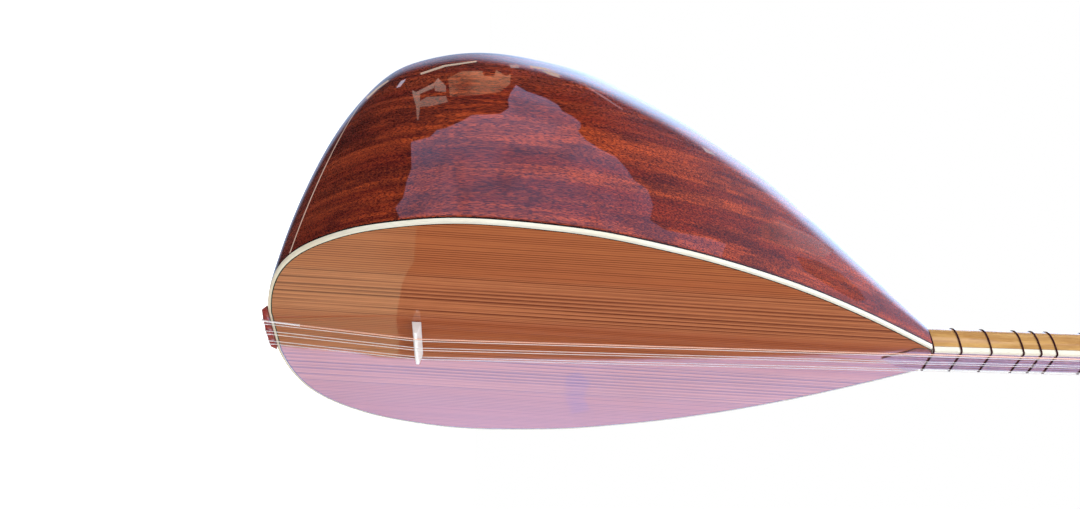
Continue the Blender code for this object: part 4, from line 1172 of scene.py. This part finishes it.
@dataclass
class Strings:
    """Six strings in three pairs, from their loops at the tailpiece to the pegs."""

    head: Head
    radii: tuple[float, ...] = (0.5, 0.25, 0.25, 0.25, 0.25, 0.25)
    pitches: Colour = (14.6, 13.5, 8.0)
    gaps: Colour = (4.7, 3.5, 2.6)
    bridge_top: float = -10.8
    notch: float = 1.3
    tail_rise: float = 1.5
    tail_thickness: float = 5.0
    tail_drop: float = 3.7
    tail_foot: float = 0.9
    tail_bow: float = 1.4
    tail_reach: float = 32.0
    groove: float = 0.9
    bevel: float = 0.6
    tooth_drop: float = 1.9
    tooth: float = 2.0
    nut_thickness: float = 4.4
    loop_radius: float = 1.8
    loop_drop: float = 1.75
    loop_wire: float = 0.22
    twisted: float = 7.0
    copper_twisted: float = 32.0
    bend: float = 1.2

    def offset(self, which: int, number: int) -> float:
        """Sideways place of a string at the tailpiece (0), the bridge (1) or the nut (2)."""
        pair, half = divmod(number - 1, 2)
        return (pair - 1) * self.pitches[which] + (half - 0.5) * self.gaps[which]

    def tail_slope(self, x: float) -> tuple[np.ndarray, np.ndarray, np.ndarray]:
        """The tailpiece's sloping back at a string: its upper edge, its way down and its way out."""
        face = -BODY_LENGTH * (1 - 0.05**2) - FIT
        bow = self.tail_bow * (x / self.tail_reach) ** 2
        edge = np.array((x, self.bevel - self.tail_rise, face - self.tail_thickness + bow))
        foot = np.array((x, self.tail_drop, face - self.tail_foot + bow))
        down = (foot - edge) / np.linalg.norm(foot - edge)
        return edge, down, np.array((0.0, down[2], -down[1]))

    def tail_turn(self, x: float, r: float) -> tuple[np.ndarray, np.ndarray]:
        """A string's end above its tooth, and its turn over the tailpiece's edge, in the body frame."""
        edge, down, out = self.tail_slope(x)
        away = r + FIT
        level = -self.tail_rise + self.groove - FIT - r
        to_turn = (level - edge[1] - away * out[1]) / down[1]
        to_end = (self.tooth_drop - FIT - (away + r) * out[1] - edge[1]) / down[1]
        return edge + away * out + to_end * down, edge + away * out + to_turn * down

    def route(self, number: int) -> list[np.ndarray]:
        """Corner points of a string from its tooth to its peg, in the neck frame."""
        r = self.radii[number - 1]
        tail, bridge, nut = (self.offset(k, number) for k in range(3))
        nut_level = FINGER_TOP - 2.9 + self.notch - FIT - r
        end, turn = self.tail_turn(tail, r)
        route = [
            lean(end),
            lean(turn),
            lean((bridge, self.bridge_top - FIT + self.notch - FIT - r, BRIDGE_Z)),
            np.array((nut, nut_level, NUT_Z)),
            np.array((nut, nut_level, NUT_Z + self.nut_thickness)),
        ]
        row, z = self.head.places()[number - 1]
        away = self.head.radius + FIT + 1.0 + FIT + r
        if row is PegRow.SIDE:
            route.append(np.array((-self.head.half(z) - FIT - self.head.winding / 2, self.head.side_level - away, z)))
        else:
            side = -1 if number == 4 else 1
            route.append(np.array((side * away, HEAD_FRONT - FIT - self.head.winding / 2, z)))
        return route

    def make(self, shop: Workshop) -> None:
        """Draw each string, its loop round the tooth and its twisted end."""
        for number in range(1, 7):
            r = self.radii[number - 1]
            route = self.route(number)
            path = rounded_path(route, self.bend)
            copper = number == 1
            shop.piece(f"strung_{number}", tube(path, r, 12), "copper_winding" if copper else "plain_steel",
                       stands_for=(f"string_{number}",))
            reach = self.copper_twisted if copper else self.twisted
            start = resampled(rounded_path(route[:3], self.bend, 8), 4000)
            steps = np.r_[0.0, np.cumsum(np.linalg.norm(np.diff(start, axis=0), axis=1))]
            core = start[steps <= reach]
            thin = self.loop_wire
            twist = tube(coil_along(resampled(core, 240), r + thin * 0.55, 1.15), thin, 6)
            _, down, out = self.tail_slope(self.offset(0, number))
            down, out = lean(down), lean(out)
            centre = route[0] + self.loop_drop * down - (r - thin) * out
            across = np.array((1.0, 0.0, 0.0))
            angles = np.linspace(0.0, 2 * math.pi, 25)
            ring = [centre + self.loop_radius * (math.sin(t) * across - math.cos(t) * down) for t in angles]
            loop = tube(np.array(ring), thin, 8)
            ends = [twist, loop]
            if copper:
                bead = coil_along(resampled(core[-12:], 30), r + 0.25, 0.6)
                ends += [tube(core, r + 0.10, 10), tube(bead, 0.28, 6)]
            shop.piece(f"string_loop_{number}", joined(ends), "plain_steel")


@dataclass(frozen=True)
class Reflection:
    """A bright thing that a piece mirrors: the outline of its mirror image in the picture's pixels."""

    name: str
    outline: tuple[tuple[float, float], ...]
    colour: Colour
    strength: float
    on: str = "bowl_shell"
    distance: float = 2.5
    grid: float = 2.0
    to_rim: bool = False
    broken: float = 0.0


class Mirror:
    """Follows a sight line to a piece and on along its mirrored way; a flat piece mirrors in its plane alone."""

    def __init__(self, obj: bpy.types.Object, plane: tuple[Vector, Vector] | None) -> None:
        """Keep the piece's triangles with the normals of their corners, and its plane if it is flat."""
        mesh = obj.data
        self.plane = plane
        mesh.calc_loop_triangles()
        self.points = [v.co.copy() for v in mesh.vertices]
        self.triangles = [tuple(t.vertices) for t in mesh.loop_triangles]
        corner = mesh.corner_normals
        self.normals = [tuple(corner[i].vector.copy() for i in t.loops) for t in mesh.loop_triangles]
        self.tree = BVHTree.FromPolygons(self.points, self.triangles)

    def beyond(self, origin: Vector, sight: Vector, distance: float) -> Vector | None:
        """Where the mirrored sight line is after a distance.

        Args:
            origin: the camera's place.
            sight: the way it looks.
            distance: how far to go on from the piece.

        Returns:
            The place, or None where the sight line misses the piece.
        """
        if self.plane is not None:
            place, normal = self.plane
            reach = (place - origin).dot(normal) / sight.dot(normal)
            return origin + sight * reach + sight.reflect(normal) * distance
        hit, _, index, _ = self.tree.ray_cast(origin, sight)
        if hit is None:
            return None
        a, b, c = (self.points[i] for i in self.triangles[index])
        na, nb, nc = self.normals[index]
        normal = barycentric_transform(hit, a, b, c, na, nb, nc).normalized()
        return hit + sight.reflect(normal) * distance


REFLECTIONS = (
    Reflection("garden_window", (
        (395, 208), (403, 198), (407, 180), (411.5, 168), (411, 142), (430, 137), (437, 130), (446, 128), (464, 120),
        (472, 115), (500, 114), (509, 108), (508, 100), (510, 94), (516, 85), (526, 91), (546, 98), (558, 105),
        (562, 111), (572, 116), (580, 122), (581, 127), (578, 131), (586, 140), (600, 149), (616, 157), (626, 168),
        (634, 180), (648, 190), (653, 205), (650, 220), (665, 230), (708, 238), (726, 244),
    ), (0.64, 0.60, 1.0), 1.85, to_rim=True, broken=0.25, grid=6.0),
    Reflection("sky_on_board", (
        (272, 345), (283, 346), (300, 348), (349, 351), (377, 357), (413, 359), (505, 359), (605, 360), (660, 359),
        (708, 358.5), (760, 356.5), (854, 354.5), (905, 351), (960, 352), (960, 380), (905, 384), (840, 404),
        (760, 422), (680, 434), (600, 440), (500, 440), (400, 428), (320, 408), (270, 370),
    ), (0.53, 0.57, 1.0), 4.7, on="sounding_board", grid=12.0, broken=0.12),
    Reflection("hedge_on_board", (
        (566, 376), (578, 372), (590, 382), (584, 398), (590, 410), (572, 414), (566, 398),
    ), (0.34, 0.48, 1.0), 5.0, on="sounding_board", distance=2.3, broken=0.25, grid=6.0),
    Reflection("sky_on_fingerboard", (
        (919, 350), (1000, 351), (1079, 352), (1096, 353), (1096, 384), (911, 384),
    ), (0.44, 0.56, 1.0), 4.2, on="finger_wood", grid=12.0, distance=1.2),
    Reflection("pale_wall_on_board", (
        (240, 345), (240, 225), (300, 190), (417, 190), (416, 230), (414, 262), (407, 272), (402, 284), (399, 300),
        (396, 320), (399, 338), (398, 356), (377, 356), (349, 350), (300, 347), (283, 345),
    ), (0.86, 1.0, 0.62), 0.80, on="sounding_board", grid=12.0, broken=0.4),
    Reflection("house_beam", (
        (412, 90), (416, 92), (434, 83), (434, 88), (420, 94), (420, 106), (418.5, 120), (417, 120), (416, 106),
        (413, 96),
    ), (1.0, 0.80, 0.68), 1.5),
    Reflection("house_gable", (
        (434, 83), (438, 78), (442, 82), (446, 86), (446, 92), (435, 91),
    ), (1.0, 0.80, 0.68), 1.3),
    Reflection("house_door", (
        (420, 101), (427, 97), (446, 96), (448, 102), (432, 106), (420, 107),
    ), (1.0, 0.80, 0.68), 1.3),
    Reflection("house_wall", (
        (448, 78), (462, 71), (482, 71), (484, 76), (494, 76), (496, 70), (506, 76), (511, 74), (510, 84), (500, 92),
        (478, 95), (450, 97),
    ), (1.0, 0.60, 0.38), 1.3, grid=4.0, broken=0.8),
    Reflection("sky_gap_left", (
        (420, 73), (444, 65), (476, 60.6), (477, 62), (446, 66.6), (421, 74.8),
    ), (1.0, 0.9, 0.72), 1.9),
    Reflection("sky_gap_corner", ((396, 88), (401, 81), (406, 79), (404, 82), (400, 87)), (0.8, 0.8, 1.0), 2.2),
    Reflection("sky_gap_low", (
        (366, 98), (378, 87), (388, 80), (389, 81), (378, 89), (367, 99.5),
    ), (1.0, 0.85, 0.72), 1.2),
    Reflection("sky_gap_dot", ((509, 64.5), (519, 65), (519, 68), (511, 68)), (0.85, 0.95, 1.0), 1.2),
    Reflection("sky_gap_right", (
        (530, 65.5), (545, 68), (557, 72.5), (545, 69.8), (530, 67.5),
    ), (1.0, 0.92, 0.80), 1.8),
    Reflection("sky_gap_edge", ((541, 70.5), (549, 71.5), (559, 74), (560, 78), (550, 75)), (1.0, 0.92, 0.80), 1.7),
    Reflection("branch", (
        (582, 82), (602, 95), (623, 109), (622, 110), (601, 96.5), (581, 83.2),
    ), (1.0, 0.75, 0.85), 1.0),
    Reflection("sky_gap_far", ((701, 146), (712, 152), (716, 156), (706, 152)), (0.9, 0.9, 1.0), 2.2),
    Reflection("sky_near_heel", (
        (796, 256), (818, 261), (840, 273), (858, 288), (866, 300), (856, 301), (832, 288), (804, 270),
    ), (1.0, 0.68, 0.80), 0.6, grid=4.0, broken=0.3),
    Reflection("low_sky", (
        (756, 226), (780, 220), (812, 236), (834, 250), (824, 258), (790, 248), (762, 238),
    ), (1.0, 0.82, 1.0), 1.2, grid=4.0, broken=0.3),
)


@dataclass
class Studio:
    """Camera, light, cards and floor."""

    camera_place: Colour = (-0.767691, -0.476668, -1.09421)
    right: Colour = (-0.049945, 0.001595, 0.998751)
    up: Colour = (-0.577822, 0.815604, -0.030198)
    lens: float = 38.547782
    picture: tuple[int, int] = (1080, 509)
    sky_lift: float = 0.20
    floor_level: float = -1.62
    floor_size: float = 40.0
    floor_glow: float = 0.72
    dim_room: Colour = (0.020, 0.018, 0.020)
    bright_ceiling: Colour = (0.85, 0.78, 1.15)
    open_sky: Colour = (1.75, 2.45, 3.70)
    even_light: Colour = (0.40, 0.40, 0.41)
    lamps: tuple[tuple[str, Colour, float, float], ...] = (
        ("key_softbox", (-1.5, -1.6, 0.9), 1.8, 43.0), ("side_softbox", (-1.7, 0.8, 1.0), 1.6, 58.0),
        ("fill_softbox", (1.9, -1.3, -0.3), 1.8, 28.0), ("rear_softbox", (0.9, 2.1, 0.0), 1.8, 27.0),
    )

    def make(self) -> None:
        """Set up the studio."""
        scene = bpy.context.scene
        scene.view_settings.view_transform = "Standard"
        self.make_camera()
        self.make_world()
        self.make_floor()
        for name, place, size, power in self.lamps:
            self.lamp(name, place, size, power)
        for reflection in REFLECTIONS:
            self.make_card(reflection)
        self.hang("string_softbox", [(-2.3, -1.5, -2.6), (-0.3, -2.7, -2.6), (-0.3, -2.7, 1.4), (-2.3, -1.5, 1.4)],
                  [(0, 1, 2, 3)], (0.95, 0.97, 1.0), 1.6)

    def make_camera(self) -> None:
        """Place the camera where the photograph was taken from."""
        data = bpy.data.cameras.new("camera")
        data.sensor_width, data.lens = 36.0, self.lens
        data.clip_start, data.clip_end = 0.01, 50.0
        camera = linked("camera", data)
        turn = Matrix(self.axes()).transposed()
        camera.matrix_world = Matrix.Translation(self.camera_place) @ turn.to_4x4()
        bpy.context.scene.camera = camera

    def axes(self) -> tuple[Vector, Vector, Vector]:
        """The camera's right, up and back."""
        right, up = Vector(self.right).normalized(), Vector(self.up)
        up = (up - right * up.dot(right)).normalized()
        return right, up, right.cross(up)

    def sight(self, x: float, y: float) -> Vector:
        """The way the camera looks through a pixel of the picture."""
        right, up, back = self.axes()
        wide, high = self.picture
        focal = self.lens / 36.0 * wide
        over, under = (x - wide / 2) / focal, (y - high / 2) / focal
        return (right * over - up * under - back).normalized()

    def pixel(self, place: Vector) -> tuple[float, float]:
        """Where the picture shows a place."""
        right, up, back = self.axes()
        wide, high = self.picture
        way = place - Vector(self.camera_place)
        scale = self.lens / 36.0 * wide / -way.dot(back)
        return wide / 2 + way.dot(right) * scale, high / 2 - way.dot(up) * scale

    def make_world(self) -> None:
        """A white background, soft even light, and a dim room with a bright far side for reflections."""
        world = bpy.data.worlds.new("studio")
        bpy.context.scene.world = world
        world.use_nodes = True
        kit = NodeKit(world.node_tree)
        background = world.node_tree.nodes["Background"]
        view = Vector(self.right).cross(Vector(self.up)).normalized() * -1.0
        towards = kit.add("ShaderNodeTexCoord").outputs["Generated"]
        sky = (view + Vector((0.0, 0.0, self.sky_lift))).normalized()
        facing = kit.vector("DOT_PRODUCT", towards, tuple(sky))
        rise = kit.vector("DOT_PRODUCT", towards, (0.0, 0.0, 1.0))
        room = kit.blend(kit.ramp(rise, 0.20, 0.95), self.dim_room, self.bright_ceiling)
        aside = kit.vector("DOT_PRODUCT", towards, self.right)
        open_side = kit.math("MULTIPLY", kit.ramp(facing, 0.68, 0.82), kit.ramp(aside, -0.10, 0.25, 0.2, 1.0))
        room = kit.blend(open_side, room, self.open_sky)
        path = kit.add("ShaderNodeLightPath").outputs
        mirror = kit.math("MAXIMUM", path["Is Glossy Ray"], path["Is Transmission Ray"])
        light = kit.blend(mirror, self.even_light, room)
        kit.feed(background.inputs["Color"], kit.blend(path["Is Camera Ray"], light, WHITE))

    def make_floor(self) -> None:
        """A pale floor well below the hanging instrument."""
        size, z = self.floor_size, self.floor_level
        corners = [(-size, -size, z), (size, -size, z), (size, size, z), (-size, size, z)]
        floor = new_object("floor", corners, [(0, 1, 2, 3)])
        kit, sockets = self.paint(floor, {"Base Color": (0.80, 0.80, 0.80, 1.0), "Roughness": 0.9,
                                          "Emission Color": (*WHITE, 1.0)})
        seen = kit.add("ShaderNodeLightPath").outputs["Is Camera Ray"]
        kit.feed(sockets["Emission Strength"], kit.math("MULTIPLY", seen, self.floor_glow))
        under = kit.add("ShaderNodeNewGeometry").outputs["Backfacing"]
        kit.feed(sockets["Alpha"], kit.math("SUBTRACT", 1.0, under))
        floor.visible_glossy = False

    def paint(self, obj: bpy.types.Object, constants: dict[str, Any]) -> tuple[NodeKit, Any]:
        """Give an object of the studio a material without gloss; its kit and its shader's sockets come back."""
        paint = bpy.data.materials.new(obj.name)
        paint.use_nodes = True
        sockets = paint.node_tree.nodes["Principled BSDF"].inputs
        for label, value in {"Specular IOR Level": 0.0, **constants}.items():
            sockets[label].default_value = value
        obj.data.materials.append(paint)
        return NodeKit(paint.node_tree), sockets

    def lamp(self, name: str, place: Colour, size: float, power: float) -> None:
        """A square softbox aimed at the body; its own mirror image is left to the cards."""
        data = bpy.data.lights.new(name, "AREA")
        data.shape, data.size, data.energy = "SQUARE", size, power
        lamp = linked(name, data)
        lamp.location = place
        lamp.rotation_mode = "QUATERNION"
        lamp.rotation_quaternion = (Vector((0.0, 0.0, -0.95)) - Vector(place)).to_track_quat("-Z", "Y")
        lamp.visible_glossy = False

    def make_card(self, reflection: Reflection) -> None:
        """Hang a bright card so that the lacquer mirrors it with the reflection's outline.

        Each point of the outline and of a grid inside it is followed from the camera to the piece
        and on along its mirrored way.
        """
        corners = list(reflection.outline)
        if reflection.to_rim:
            rim_line = [(-x, RIM, z) for x, z in Bowl().outline(0.0)]
            seen = [self.pixel(Vector(p)) for p in settle(rim_line, in_body=True)]
            corners += [(x, y - 1.2) for x, y in seen if corners[0][0] < x < corners[-1][0]]
        grid = reflection.grid
        border: list[tuple[float, float]] = []
        for (x0, y0), (x1, y1) in zip(corners, corners[1:] + corners[:1]):
            parts = max(1, round(math.hypot(x1 - x0, y1 - y0) / grid))
            border += [(x0 + (x1 - x0) * i / parts, y0 + (y1 - y0) * i / parts) for i in range(parts)]
        xs, ys = [p[0] for p in corners], [p[1] for p in corners]
        inner = [(x, y) for x in np.arange(min(xs), max(xs), grid) for y in np.arange(min(ys), max(ys), grid)]
        flat = [Vector(p) for p in border + inner]
        rim = [(i, (i + 1) % len(border)) for i in range(len(border))]
        spots, _, faces, *_ = delaunay_2d_cdt(flat, rim, [], 1, 1e-4)
        plane = {"sounding_board": (lean((0, 0, 0)), lean((0, -1, 0))),
                 "finger_wood": (np.array((0, FINGER_TOP, 0)), np.array((0, -1, 0)))}.get(reflection.on)
        if plane is not None:
            plane = (Vector(settle([plane[0]])[0]), Vector(plane[1]))
        mirror = Mirror(bpy.data.objects[reflection.on], plane)
        origin = Vector(self.camera_place)
        placed = [mirror.beyond(origin, self.sight(*spot), reflection.distance) for spot in spots]
        faces = [face for face in faces if all(placed[i] is not None for i in face)]
        data = bpy.data.meshes.new(reflection.name)
        data.from_pydata([p or (0.0, 0.0, 0.0) for p in placed], [], faces)
        with workbench(data) as work:
            bmesh.ops.delete(work, geom=[v for v in work.verts if not v.link_faces], context="VERTS")
        self.hang(reflection.name, [v.co[:] for v in data.vertices], [tuple(f.vertices) for f in data.polygons],
                  reflection.colour, reflection.strength, reflection.broken, 4.0 / reflection.distance)

    def hang(self, name: str, points: Sequence[Any], faces: Sequence[tuple[int, ...]], colour: Colour, strength: float,
             broken: float = 0.0, scale: float = 1.6) -> None:
        """Hang a bright card that shows in gloss alone.

        Args:
            name: the card's name.
            points: its corners in metres.
            faces: its faces.
            colour: its colour.
            strength: its brightness.
            broken: how much of its brightness comes and goes in patches.
            scale: how fine the patches are.
        """
        obj = new_object(name, points, faces)
        kit, sockets = self.paint(obj, {"Base Color": (0.0, 0.0, 0.0, 1.0), "Emission Strength": strength})
        patches = kit.noise(kit.add("ShaderNodeTexCoord").outputs["Object"], scale, 3.0)
        faded = tuple(v * (1.0 - broken) for v in colour)
        kit.feed(sockets["Emission Color"], kit.blend(kit.ramp(patches, 0.38, 0.58), faded, colour))
        obj.visible_camera = obj.visible_diffuse = obj.visible_shadow = False
        LOG.info("hung %s with %d faces", obj.name, len(faces))


def main() -> None:
    """Build the instrument, then the studio."""
    logging.basicConfig(level=logging.INFO, format="%(message)s")
    shop = Workshop()
    Bowl().make(shop)
    Neck().make(shop)
    head = Head()
    head.make(shop)
    Strings(head).make(shop)
    shop.softened("bridge", 0.3, "bridge_maple", "bridge")
    shop.softened("tailpiece", 0.25, "tailpiece_mahogany")
    Studio().make()


if __name__ == "__main__":
    main()
